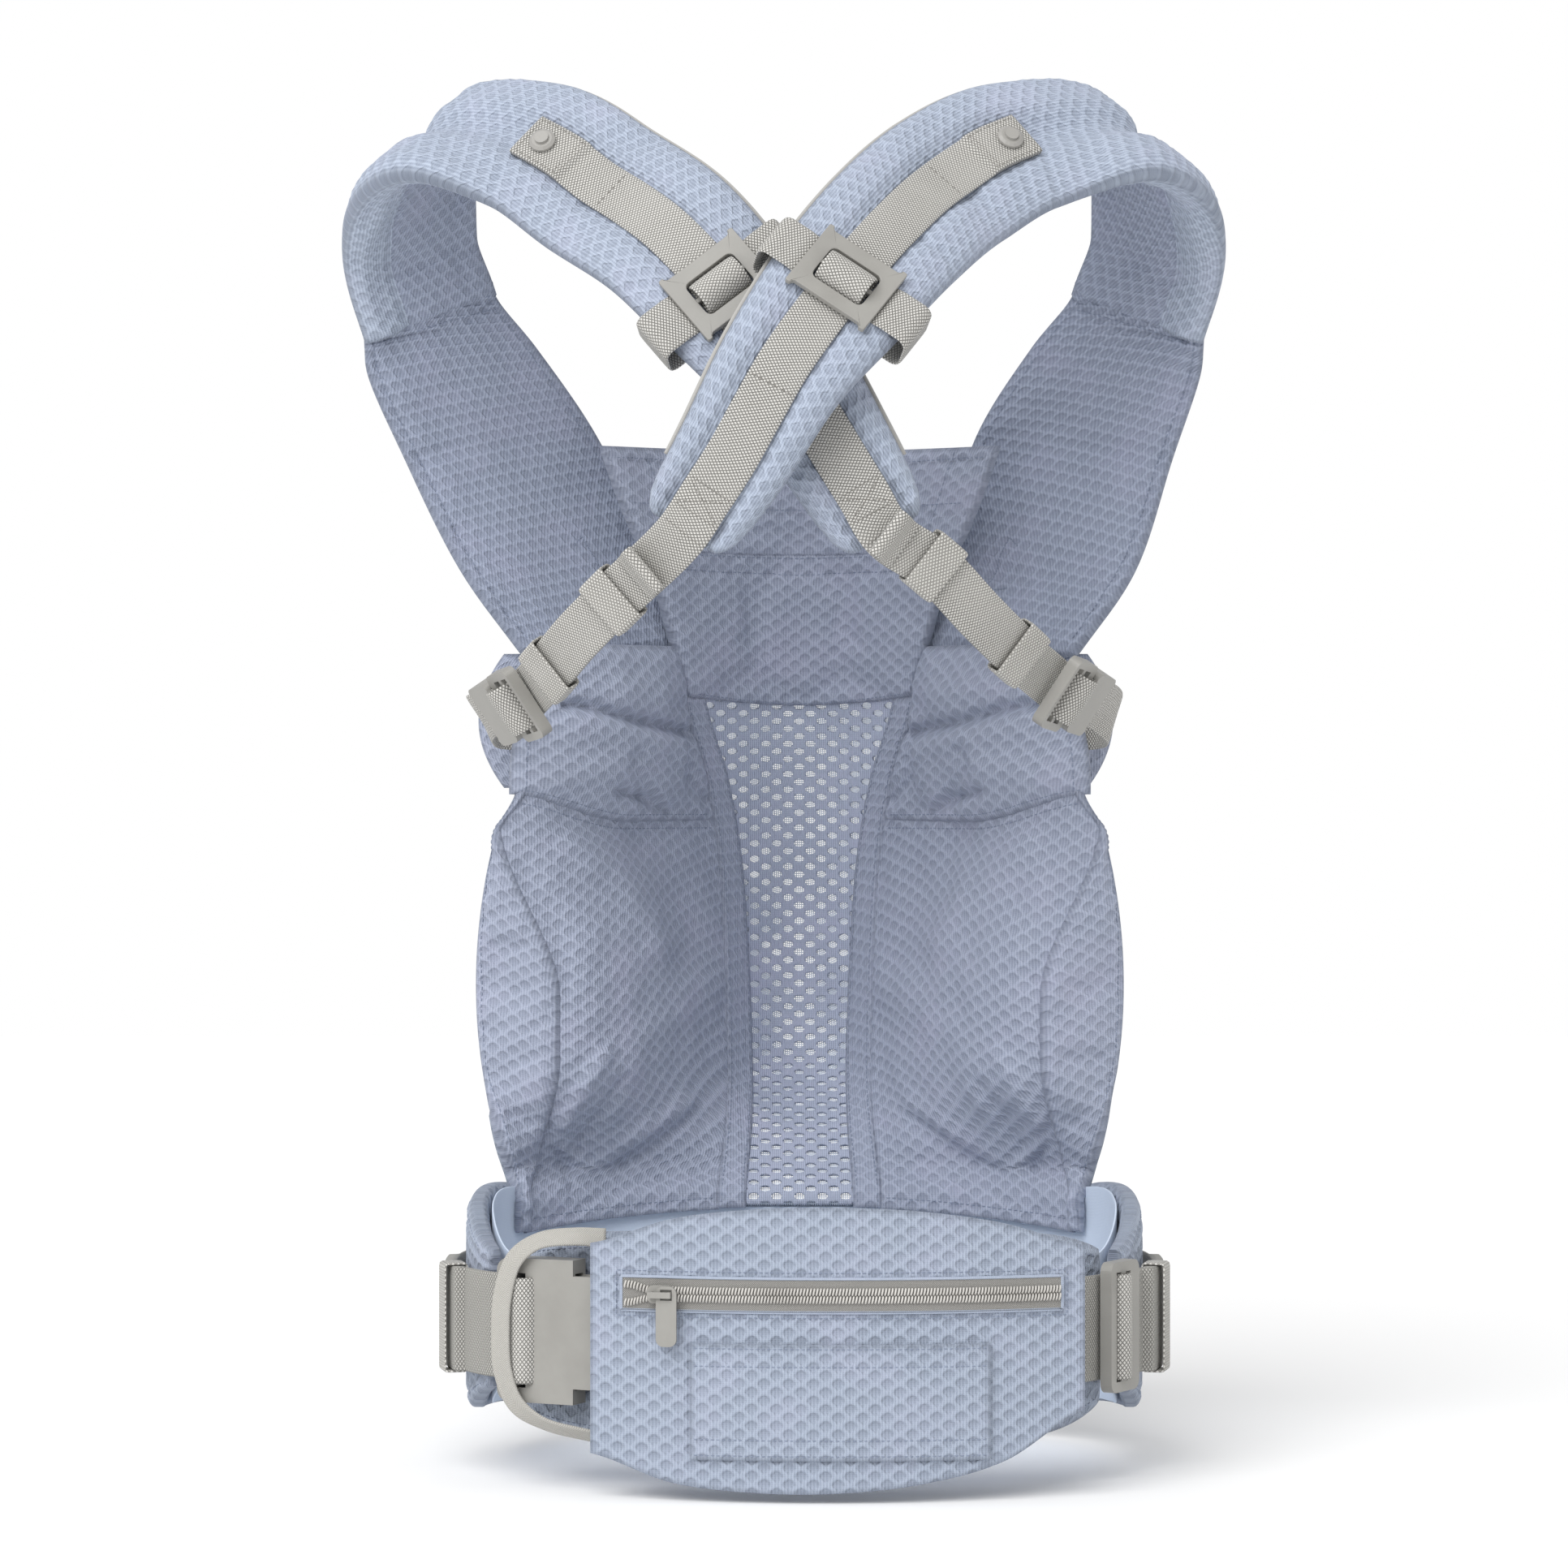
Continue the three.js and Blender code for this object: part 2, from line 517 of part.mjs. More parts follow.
// A side-release buckle: a plug with a ladder lock on the webbing, and a socket on the panel.
function makeSideBuckle(name, bar, alongDirection, outDirection) {
  const along = point(...alongDirection).normalize();
  const across = point(...outDirection).cross(along).normalize();
  const out = along.clone().cross(across);
  const place = mountAt({ at: point(...bar), along, across, out });
  const { width, thickness, lock, socketLength, socketWidth } = SIDE_BUCKLE;
  const slots = [-5, 4.5].map((x) => block(6.5, 30, 20, x));
  const ladder = plate(roundedRectangle(lock, width, 4), thickness).translate(1.5, 0, 0);
  const guide = block(18, 7, 4, 22, 0, 0);
  add(`side_plug_${name}`, build([ladder, guide], slots), "plastic", place);
  for (const [which, side] of [["upper", 1], ["lower", -1]]) {
    const prong = block(16, 4, 4, 23.6, side * 9.8, 0);
    add(`side_prong_${which}_${name}`, prong, "plastic", place);
  }
  const start = lock / 2 + 1.5 + 1;
  const shell = plate(roundedRectangle(socketLength, socketWidth, 4), 11).translate(start + socketLength / 2, 0, 0);
  const cavity = block(socketLength - 3, socketWidth - 7, 6, start + socketLength / 2 - 3, 0, 0);
  const slot = block(3, 24, 20, start + socketLength - 2.2 + 3, 0, 0);
  const lug = block(7, 29, 5, start + socketLength + 2.4, 0, 0);
  add(`side_socket_${name}`, build([shell, lug], [cavity, slot]), "plastic", place);
  // The webbing from the socket to the back of the side piece, where it's sewn on.
  const side = Math.sign(bar[0]);
  const beyond = (distance) => point(...bar).addScaledVector(along, start + socketLength + distance)
    .addScaledVector(out, -1).toArray();
  const sewn = bowlDepth(132, 287) + GUSSET.back + 2.4;
  const tab = new Route([
    { at: beyond(6.5), out: out.toArray() },
    { at: beyond(20), out: out.toArray() },
    { at: [side * 157, 39, 290], out: [side * 0.95, 0.05, -0.3] },
    { at: [side * 150, 52, 288], out: [side * 0.75, 0.65, -0.1] },
    { at: [side * 132, sewn, 287], out: [side * 0.3, 0.95, 0] },
  ]);
  const half = () => WEBBING.width / 2;
  const thin = () => 1;
  add(`socket_tab_${name}`, band(tab, 0, 1, half, 0, 14, 1, thin, thin), "webbing");
}

// The rounded flap of fabric behind a side buckle.
function makeBucklePocket(name, side) {
  const surface = (u, v) => {
    const z = mix(256, 324, v);
    const outer = 139 + 24 * Math.sin(Math.PI * mix(0.12, 0.88, v)) ** 0.8;
    const x = side * mix(126, outer, side > 0 ? u : 1 - u);
    return point(x - (side > 0 ? 4 : 0), 66 + 0.25 * (Math.abs(x) - 126), z);
  };
  const half = (u, v) => 1.5 + 2.5 * Math.sin(Math.PI * v) * Math.sin(Math.PI * u);
  add(`buckle_pocket_${name}`, pad(surface, 3, 6, half, half), "knit");
}

// --- strap wings ----------------------------------------------------------------------------------

// The wide fabric wings from the panel's upper sides to the shoulder straps.
const WING_OUTER = [[-142, 52, WING.bottom], [-171, 64, 366], [-201, 74, 424], [-219, 66, 466], [-220, 63, 478]];
const WING_INNER = [[-68, 118, WING.bottom - 6], [-84, 116, 378], [-108, 103, 436], [-136, 84, 480], [-154, 76, 505]];

function makeWing(name, side) {
  const shift = side > 0 ? -16 : 0;
  const edge = (list) => new THREE.CatmullRomCurve3(
    list.map(([x, y, z]) => point(-side * x + shift * smooth(340, 470, z), y, z)));
  const outer = edge(WING_OUTER);
  const inner = edge(WING_INNER);
  const surface = (u, v) => {
    const [a, b] = side < 0 ? [outer, inner] : [inner, outer];
    return a.getPoint(v).lerp(b.getPoint(v), u);
  };
  const half = (u, v) => 1.2 + (WING.thickness / 2 - 1.2) * (Math.sin(Math.PI * u) * Math.sin(Math.PI * mix(0.1, 0.8, v))) ** 0.4;
  add(`strap_wing_${name}`, pad(surface, 6, 12, half, half), "knit");
}

// --- waist webbing and buckle -----------------------------------------------------------------------

// Webbing round the side of the waist. Its spare end lies folded on it between two angles. The lead and
// the trail are lists of stations before its first angle and beyond its last one.
function waistBand(fromDegrees, toDegrees, foldFrom, foldTo, lead, trail) {
  const { width, thickness, offset, fold } = WAIST_WEBBING;
  const round = 8;
  const stations = [...lead];
  for (let i = 0; i <= round; i++) {
    const degrees = mix(fromDegrees, toDegrees, i / round);
    const at = waistPoint(degrees, offset, 0);
    stations.push({ at: at.toArray(), out: waistPoint(degrees, offset + 1, 0).sub(at).toArray() });
  }
  stations.push(...trail);
  const front = (u) => {
    const station = u * (stations.length - 1) - lead.length;
    const degrees = mix(fromDegrees, toDegrees, station / round);
    return degrees > foldFrom && degrees < foldTo ? thickness / 2 + fold : thickness / 2;
  };
  const steps = 2 * (stations.length - 1);
  return band(new Route(stations), 0, 1, () => width / 2, 0, steps, 1, front, () => thickness / 2);
}

function makeWaistWebbing() {
  const { width, thickness, offset } = WAIST_WEBBING;
  // The left webbing runs on between the lumbar pad and the socket, to the socket's bar.
  const towards = [[-143.8, -76.5], [-137, -80.6], [-129, -84.2]];
  const trail = towards.map(([x, y]) => ({ at: [x, y, 0], out: [-0.5, -0.86, 0] }));
  add("waist_webbing_left", waistBand(168, 211, 176, 200, [], trail), "webbing");
  // The right webbing and the rear webbing both end under the adjuster.
  const under = (distance, depth) => ({
    at: [152 + 0.5 * distance - 0.866 * depth, -80 + 0.866 * distance + 0.5 * depth, 0],
    out: [0.866, -0.5, 0],
  });
  add("waist_webbing_right", waistBand(-24, 12, -21, 4, [under(4, 4.9), under(13, 5.2)], []), "webbing");
  const rear = new Route([
    { at: [-58, -120, 0], out: [0, -1, 0] },
    { at: [17, -125, 0], out: [0, -1, 0] },
    { at: [85, -121, 0], out: [0.1, -1, 0] },
    { at: [120, -108, 0], out: [0.5, -0.87, 0] },
    { at: [139, -90, 0], out: [0.8, -0.6, 0] },
    under(-8, 5.6),
  ]);
  const half = () => width / 2;
  const thin = () => thickness / 2;
  add("waist_webbing_rear", band(rear, 0, 1, half, 0, 14, 1, thin, thin), "webbing");
  for (const [name, degrees] of [["left", 193.5], ["right", -13.5]]) {
    const at = waistPoint(degrees, offset + 2.9, 0);
    const along = waistPoint(degrees + 2, offset, 0).sub(waistPoint(degrees - 2, offset, 0)).normalize();
    const across = point(0, 0, 1);
    const out = along.clone().cross(across);
    const place = mountAt({ at, along, across, out });
    const loop = plate(roundedRectangle(width + 5, 12.4, 1.5), 15, [hole(width + 2.4, 9.8)]);
    loop.applyMatrix4(ACROSS);
    add(`waist_keeper_${name}`, loop, "elastic", place);
  }
}

function makeWaistBuckle() {
  const turn = THREE.MathUtils.degToRad(WAIST_BUCKLE.turn);
  const along = point(Math.cos(turn), -Math.sin(turn), 0);
  const across = point(0, 0, 1);
  const out = along.clone().cross(across);
  const place = mountAt({ at: point(-114, -101.5, 0), along, across, out });
  const { length, width, thickness } = WAIST_BUCKLE;
  const shell = plate(roundedRectangle(length, width, 6), thickness);
  const bars = [block(3.2, 54, 20, -24.2, 0, 0), block(4.6, 54, 20, -17, 0, 0)];
  const cavity = block(38, 55, 8, 14, 0, 0);
  const windows = [-1, 1].map((side) => block(13, 9, 20, 17, side * 31, 0));
  add("waist_socket", build([shell], [...bars, cavity, ...windows]), "plastic", place);
  const base = plate(roundedRectangle(16, 56, 4), 7.6, [hole(3.4, 51, 1, 0)]).translate(38.5, 0, 0);
  const guide = block(26, 14, 5, 18, 0, 0);
  add("waist_plug", build([base, guide]), "plastic", place);
  for (const [name, side] of [["upper", 1], ["lower", -1]]) {
    add(`waist_prong_${name}`, block(30, 7, 6.4, 15, side * 22.5, 0), "plastic", place);
  }
}

function makeAdjuster() {
  const along = point(0.5, 0.866, 0).normalize();
  const across = point(0, 0, 1);
  const out = along.clone().cross(across);
  const place = mountAt({ at: point(152, -80, 0), along, across, out });
  const { length, width, thickness } = ADJUSTER;
  const slots = [-7, 3].map((x) => block(5, 52, 20, x));
  const frame = plate(roundedRectangle(length, width, 5), thickness);
  add("waist_adjuster", build([frame], slots), "plastic", place);
}

function makeSafetyElastic() {
  const route = new Route([
    { at: [-106, -107, 50], out: [-0.35, -0.94, 0.2] },
    { at: [-124, -103, 42], out: [-0.4, -0.9, 0.2] },
    { at: [-137, -101, 24], out: [-0.42, -0.9, 0] },
    { at: [-140, -101, 0], out: [-0.42, -0.9, 0] },
    { at: [-138, -101, -24], out: [-0.42, -0.9, 0] },
    { at: [-129, -103, -40], out: [-0.4, -0.9, -0.2] },
    { at: [-114, -108, -48], out: [-0.35, -0.94, -0.2] },
  ]);
  const half = () => 4.6;
  const thin = () => 0.9;
  add("safety_elastic", band(route, 0, 1, half, 0, 14, 1, thin, thin), "elastic");
}

// --- pouch ----------------------------------------------------------------------------------------

// A point in front of the pouch's curved face, which is part of a cylinder behind the wearer's back.
function pouchPoint(x, outwards, z) {
  const centreY = POUCH.face + POUCH.radius;
  const angle = (x - POUCH.centreX) / POUCH.radius;
  const radius = POUCH.radius + outwards;
  return point(POUCH.centreX + radius * Math.sin(angle), centreY - radius * Math.cos(angle), z);
}

function pouchSheet(left, right, low, high, outwards, columns, rows, front, back) {
  const surface = (u, v) => {
    const x = mix(left, right, u);
    return pouchPoint(x, outwards, mix(low(u), high(u), v));
  };
  return pad(surface, columns, rows, front, back);
}

function makePouch() {
  const { centreX, halfWidth, thin, thick } = POUCH;
  const low = (u) => through(POUCH_BOTTOM, u);
  const high = (u) => through(POUCH_TOP, u);
  const puff = (u, v) => (Math.sin(Math.PI * u) * Math.sin(Math.PI * v)) ** 0.5;
  const inward = (u, v) => mix(thin, thick, puff(u, v));
  const left = centreX - halfWidth;
  const right = centreX + halfWidth;
  add("pouch_body", pouchSheet(left, right, low, high, 0, 16, 6, () => 0.01, inward), "knit");
  const flat = (value) => () => value;
  const skin = flat(0.6);
  add("pouch_pocket",
    pouchSheet(POCKET.left, POCKET.right, flat(POCKET.bottom), flat(POCKET.top), 1.1, 12, 1, skin, skin), "knit");
  const { z, halfHeight, coil } = ZIP;
  const strip = (name, bottom, top, outwards, finish, half) =>
    add(name, pouchSheet(ZIP.left, ZIP.right, flat(bottom), flat(top), outwards, 16, 1, flat(half), flat(half)),
      finish);
  strip("zipper_tape", z - halfHeight, z + halfHeight, 0.8, "webbing", 0.4);
  strip("zipper_coil", z - coil, z + coil, 2.2, "coil", 0.6);
}

function makeZipSlider() {
  const { z, sliderX } = ZIP;
  const at = pouchPoint(sliderX, 0, z);
  const along = pouchPoint(sliderX + 1, 0, z).sub(pouchPoint(sliderX - 1, 0, z)).normalize();
  const across = point(0, 0, 1);
  const out = along.clone().cross(across);
  const place = mountAt({ at, along, across, out });
  const body = plate(roundedRectangle(13, 8.4, 3), 1.6).translate(0, 0, 4);
  const posts = [-4.4, 4.9].map((x) => block(1.8, 2.8, 3.8, x, 0, 6.4));
  const bail = block(11.1, 2.8, 1.2, 0.25, 0, 8.3);
  add("zipper_slider", build([body, ...posts, bail]), "plastic", place);
  // the pull's ring passes under the bail and round its right-hand post
  const pull = plate(roundedRectangle(9.8, 28, 3.5), 1.2, [hole(5.6, 5, 0, 10)]);
  add("zip_pull", pull.translate(3.3, -10, 6.3), "plastic", place);
}

// --- the whole carrier ----------------------------------------------------------------------------

makeBelt();
makePanelCentre();
makeUpperPanel();
makeLowerPanel();
makeGussets();
for (const [name, side] of PAIRS) {
  makeWing(name, side);
  makeBucklePocket(name, side);
}
const STRAPS = [
  ["left", LEFT_STRAP, TO_RIGHT_BUCKLE],
  ["right", RIGHT_STRAP, TO_LEFT_BUCKLE],
];
for (const [name, strap, free] of STRAPS) {
  makeStrap(name, strap);
  const webbing = makeStrapWebbing(name, strap, free);
  makeSnap(name, webbing);
  makeStrapSlider(name, strap);
  makeKeepers(name, webbing);
}
makeSideBuckle("left", [-136, -35, 297], [-0.39, 0.92, -0.1], [-0.75, -0.38, -0.54]);
makeSideBuckle("right", [128, -35, 302], [0.39, 0.92, -0.1], [0.75, -0.38, -0.54]);
makeWaistWebbing();
makeWaistBuckle();
makeAdjuster();
makeSafetyElastic();
makePouch();
makeZipSlider();

export default carrier;
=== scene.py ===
"""The looks of a soft baby carrier in its worn shape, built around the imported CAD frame.

Lengths in the tables are millimetres, as in the part's source, and become metres in make_mesh().
"""
import math

import bpy
import numpy as np
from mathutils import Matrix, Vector


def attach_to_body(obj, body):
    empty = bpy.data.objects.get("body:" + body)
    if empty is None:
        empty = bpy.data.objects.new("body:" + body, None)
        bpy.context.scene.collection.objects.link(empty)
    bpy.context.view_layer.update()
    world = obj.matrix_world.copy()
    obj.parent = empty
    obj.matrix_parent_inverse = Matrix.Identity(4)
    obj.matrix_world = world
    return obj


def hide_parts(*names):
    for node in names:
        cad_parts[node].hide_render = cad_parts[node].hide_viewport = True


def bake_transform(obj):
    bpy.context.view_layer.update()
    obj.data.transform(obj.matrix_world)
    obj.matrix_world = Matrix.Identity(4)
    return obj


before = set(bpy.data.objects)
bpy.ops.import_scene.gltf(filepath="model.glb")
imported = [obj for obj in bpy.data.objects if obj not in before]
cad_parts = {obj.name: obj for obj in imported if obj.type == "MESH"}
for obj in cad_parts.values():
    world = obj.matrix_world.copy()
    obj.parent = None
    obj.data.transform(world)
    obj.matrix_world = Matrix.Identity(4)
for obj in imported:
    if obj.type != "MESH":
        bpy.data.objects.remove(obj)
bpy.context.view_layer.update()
scene = bpy.context.scene
MM = 0.001
PAIRS = (("left", -1), ("right", 1))
WEBBING = 25
WAIST_WEBBING = 50

# --- numbers ------------------------------------------------------------------


def mix(a, b, t):
    return a + (b - a) * t


def clamp(x):
    return np.minimum(np.maximum(x, 0.0), 1.0)


def smooth(a, b, x):
    t = clamp((x - a) / (b - a))
    return t * t * (3 - 2 * t)


def sine(t):
    """A half sine wave, 0 at the ends of 0 to 1."""
    return np.sin(np.pi * clamp(t))


def through(values, t):
    """A smooth curve through evenly spaced values, at t from 0 to 1."""
    y = np.asarray(values, float)
    last = len(y) - 1
    x = clamp(np.asarray(t, float)) * last
    i = np.minimum(x.astype(int), last - 1)
    f = x - i
    a, b, c, d = y[np.maximum(i - 1, 0)], y[i], y[i + 1], y[np.minimum(i + 2, last)]
    m, n = (c - a) / 2, (d - b) / 2
    return (2 * b - 2 * c + m + n) * f**3 + (3 * c - 3 * b - 2 * m - n) * f**2 + m * f + b


def centripetal(points, count):
    """Centripetal Catmull-Rom curve through points, at count + 1 evenly spaced parameters."""
    p = np.asarray(points, float)
    p = np.vstack([2 * p[0] - p[1], p, 2 * p[-1] - p[-2]])
    last = len(points) - 1
    x = np.linspace(0, last, count + 1)
    i = np.minimum(x.astype(int), last - 1)
    f = (x - i)[:, None]
    a, b, c, d = p[i], p[i + 1], p[i + 2], p[i + 3]

    def gap(m, n):
        return np.linalg.norm(m - n, axis=1)[:, None] ** 0.5

    d0, d1, d2 = gap(a, b), gap(b, c), gap(c, d)
    d1 = np.where(d1 < 1e-4, 1.0, d1)
    d0 = np.where(d0 < 1e-4, d1, d0)
    d2 = np.where(d2 < 1e-4, d1, d2)
    m = ((b - a) / d0 - (c - a) / (d0 + d1) + (c - b) / d1) * d1
    n = ((c - b) / d1 - (d - b) / (d1 + d2) + (d - c) / d2) * d1
    return (2 * b - 2 * c + m + n) * f**3 + (3 * c - 3 * b - 2 * m - n) * f**2 + m * f + b


def unit(v):
    return v / np.maximum(np.linalg.norm(v, axis=-1, keepdims=True), 1e-12)


def travelled(points):
    """The distance along a line of points, at each of them."""
    return np.concatenate([[0], np.cumsum(np.linalg.norm(np.diff(points, axis=0), axis=-1))])


def ridge(x, width):
    """A smooth ridge: 1 where x is 0, and gone a few widths away."""
    return np.exp(-((x / width) ** 2))


def waves(x, y, seed, scale, octaves=3):
    """Smooth seeded noise from -1 to 1 over x and y, with bumps about scale across."""
    rng = np.random.default_rng(seed)
    total = np.zeros(np.broadcast(x, y).shape)
    for octave in range(octaves):
        for _ in range(4):
            turn = rng.uniform(0, 2 * np.pi)
            phase = rng.uniform(0, 2 * np.pi)
            rate = 2 * np.pi / scale * 1.7**octave * rng.uniform(0.7, 1.3)
            total += 0.62**octave * np.sin((x * np.cos(turn) + y * np.sin(turn)) * rate + phase)
    return total / 5.5


class Route:
    """A line through stations (x, y, z), (out direction): the same curve as in the CAD."""

    COUNT = 1600

    def __init__(self, stations):
        self.count = len(stations) - 1
        self.at = centripetal([s[0] for s in stations], self.COUNT)
        faces = centripetal([s[1] for s in stations], self.COUNT)
        self.along = unit(np.gradient(self.at, axis=0))
        self.across = unit(np.cross(faces, self.along))
        self.out = np.cross(self.along, self.across)
        self.length = travelled(self.at)

    def pick(self, table, t):
        x = clamp(np.asarray(t, float)) * self.COUNT
        i = np.minimum(x.astype(int), self.COUNT - 1)
        f = (x - i)[..., None]
        return table[i] * (1 - f) + table[i + 1] * f

    def frame(self, t):
        return [self.pick(x, t) for x in (self.at, self.along, self.across, self.out)]

    def distance(self, t):
        return np.interp(clamp(np.asarray(t, float)) * self.COUNT, np.arange(self.COUNT + 1), self.length)

    def t_at(self, station, distance=0.0):
        target = self.distance(station / self.count) + distance
        return float(np.interp(target, self.length, np.linspace(0, 1, self.COUNT + 1)))

    def place(self, t, across, out):
        """The point that far across and out of the line at t."""
        at, _, a, o = self.frame(t)
        return at + a * np.asarray(across)[..., None] + o * np.asarray(out)[..., None]


# --- meshes -------------------------------------------------------------------


def make_mesh(name, verts, faces, uvs=None, material=None, seam=None):
    """A mesh object from millimetre vertices. uvs, one per vertex, are millimetres too.

    seam, one per vertex, is 0 where shade is painted along a seam or a piece's edge and 1 away from it.
    """
    mesh = bpy.data.meshes.new(name)
    mesh.from_pydata((np.asarray(verts) * MM).tolist(), [], [list(map(int, f)) for f in faces])
    shade = mesh.attributes.new("seam", "FLOAT", "POINT")
    seam = np.ones(len(verts)) if seam is None else seam
    shade.data.foreach_set("value", seam.astype(np.float32))
    if uvs is not None:
        layer = mesh.uv_layers.new(name="UVMap")
        loops = np.zeros(len(mesh.loops), np.int32)
        mesh.loops.foreach_get("vertex_index", loops)
        layer.data.foreach_set("uv", (np.asarray(uvs)[loops] * MM).astype(np.float32).ravel())
    mesh.polygons.foreach_set("use_smooth", np.full(len(mesh.polygons), True))
    mesh.update()
    if material is not None:
        mesh.materials.append(material)
    return add_object(name, mesh)


def add_object(name, data):
    made = bpy.data.objects.new(name, data)
    scene.collection.objects.link(made)
    return made


def attach(piece, body="root", nodes=()):
    """Say which body a piece rides on and which CAD nodes it stands for."""
    if body is not None:
        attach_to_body(piece, body)
    if nodes:
        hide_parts(*nodes)


def grid_faces(nu, nv, start=0, flip=False):
    i, j = np.meshgrid(np.arange(nu), np.arange(nv), indexing="ij")
    a = start + i * (nv + 1) + j
    quads = np.stack([a, a + nv + 1, a + nv + 2, a + 1], -1).reshape(-1, 4)
    return quads[:, ::-1] if flip else quads


def closed_skin(name, top, bottom, uvs, material, shade=None):
    """A closed mesh of two grids of points, top and bottom, joined round their edges."""
    nu, nv = top.shape[0] - 1, top.shape[1] - 1
    count = (nu + 1) * (nv + 1)
    ring = ([(i, 0) for i in range(nu)] + [(nu, j) for j in range(nv)]
            + [(i, nv) for i in range(nu, 0, -1)] + [(0, j) for j in range(nv, 0, -1)])
    around = np.array([i * (nv + 1) + j for i, j in ring])
    after = np.roll(around, -1)
    faces = np.vstack([grid_faces(nu, nv), grid_faces(nu, nv, count, True),
                       np.stack([around + count, after + count, after, around], -1)])
    points = np.vstack([top.reshape(-1, 3), bottom.reshape(-1, 3)])
    flat = np.stack(np.broadcast_arrays(*uvs), -1).reshape(-1, 2)
    return make_mesh(name, points, faces, np.vstack([flat, flat]), material, shade)


def normals_of(points):
    return unit(np.cross(np.gradient(points, axis=0), np.gradient(points, axis=1)))


def between(table, i, j, f, g):
    """A grid's values at shares f and g past its places i and j."""
    return (table[i, j] * (1 - f) + table[i + 1, j] * f) * (1 - g) + (
        table[i, j + 1] * (1 - f) + table[i + 1, j + 1] * f) * g


def spaced(size, step, rim):
    """Shares from 0 to 1 about step apart over size, closer together within rim of both ends."""
    rim = min(rim, size * 0.3)
    near = rim * (1 - np.cos(np.linspace(0, np.pi / 2, max(4, int(rim / 0.9)) + 1)))
    middle = np.linspace(rim, size - rim, max(3, int((size - 2 * rim) / step)) + 1)
    return np.concatenate([near, middle[1:-1], size - near[::-1]]) / size


def edge_round(distance, rim):
    return np.sqrt(clamp(1 - (1 - clamp(distance / rim)) ** 2))


def dimples(u, v, width, height, turn, grow):
    """Depth, 0 to 1, of the knit's dimples: small shields in staggered rows, as in the material."""
    c, s = math.cos(turn), math.sin(turn)
    a, b = (u * c - v * s) / width, (u * s + v * c) / height
    p, q = a + b, a - b
    p, q = p - np.round(p), q - np.round(q)
    a, b = (p + q) / 2, (p - q) / 2
    wide = (0.2 + 0.25 * b) * grow
    return 1 - smooth(0.5, 1.4, (np.abs(a) / wide) ** 1.3 + (np.abs(b) / (0.27 * grow)) ** 1.3)


BAG_CELL = 6.5
BAG_FRAMES = 20
BAG_SETTINGS = {"vertex_group_mass": "seam", "quality": 5, "mass": 0.15, "tension_stiffness": 6,
                "compression_stiffness": 6, "shear_stiffness": 2, "bending_stiffness": 0.3, "shrink_min": -0.03,
                "use_pressure": True, "uniform_pressure_force": 4}


def swell(name, surface, size, thickness, cap):
    """How stuffing pushes a piece's two faces out, from a cloth simulation of a coarse bag.

    The bag is sewn shut round its edge and blown up from inside. Returned are two functions of
    u and v, the front's and the back's push in mm along the surface's normal, at most cap.
    """
    nu, nv = (max(8, int(s / BAG_CELL)) for s in size)
    u, v = np.linspace(0, 1, nu + 1), np.linspace(0, 1, nv + 1)
    uu, vv = np.meshgrid(u, v, indexing="ij")
    base = surface(uu, vv)
    normal = normals_of(base)
    dome = (thickness * 0.5 * (sine(uu) * sine(vv)) ** 0.5)[..., None]
    faces = [tuple(f) for f in grid_faces(nu, nv)]
    order = np.arange((nu + 1) * (nv + 1)).reshape(nu + 1, nv + 1)
    inner = order.copy()
    inner[1:-1, 1:-1] = (nu + 1) * (nv + 1) + np.arange((nu - 1) * (nv - 1)).reshape(nu - 1, nv - 1)
    faces += [tuple(inner.ravel()[i] for i in f[::-1]) for f in grid_faces(nu, nv)]
    start = np.vstack([(base + normal * dome).reshape(-1, 3),
                       (base - normal * dome)[1:-1, 1:-1].reshape(-1, 3)])
    bag = make_mesh(name + "_bag", start, faces)
    edge = bag.vertex_groups.new(name="seam")
    rim = np.ones(order.shape, bool)
    rim[1:-1, 1:-1] = False
    edge.add([int(i) for i in order[rim]], 1.0, "REPLACE")
    cloth = bag.modifiers.new("cloth", "CLOTH")
    for key, value in BAG_SETTINGS.items():
        setattr(cloth.settings, key, value)
    cloth.settings.effector_weights.gravity = 0
    cloth.point_cache.frame_start = 1
    cloth.point_cache.frame_end = BAG_FRAMES
    for step in range(1, BAG_FRAMES + 1):
        scene.frame_set(step)
    blown = bag.evaluated_get(bpy.context.evaluated_depsgraph_get()).data
    after = np.zeros(len(blown.vertices) * 3, np.float32)
    blown.vertices.foreach_get("co", after)
    moved = after.reshape(-1, 3) / MM - start
    scene.frame_set(1)
    mesh = bag.data
    bpy.data.objects.remove(bag)
    bpy.data.meshes.remove(mesh)
    front = np.sum(moved[:order.size].reshape(nu + 1, nv + 1, 3) * normal, -1)
    rear = np.zeros_like(front)
    rear[1:-1, 1:-1] = -np.sum(moved[order.size:].reshape(nu - 1, nv - 1, 3) * normal[1:-1, 1:-1], -1)

    def spread(push):
        push = np.tanh(np.nan_to_num(push) / cap) * cap

        def at(a, b):
            x, y = a * nu, b * nv
            i, j = np.minimum(x.astype(int), nu - 1), np.minimum(y.astype(int), nv - 1)
            return between(push, i, j, smooth(0, 1, x - i), smooth(0, 1, y - j))

        return at

    return spread(front), spread(rear)


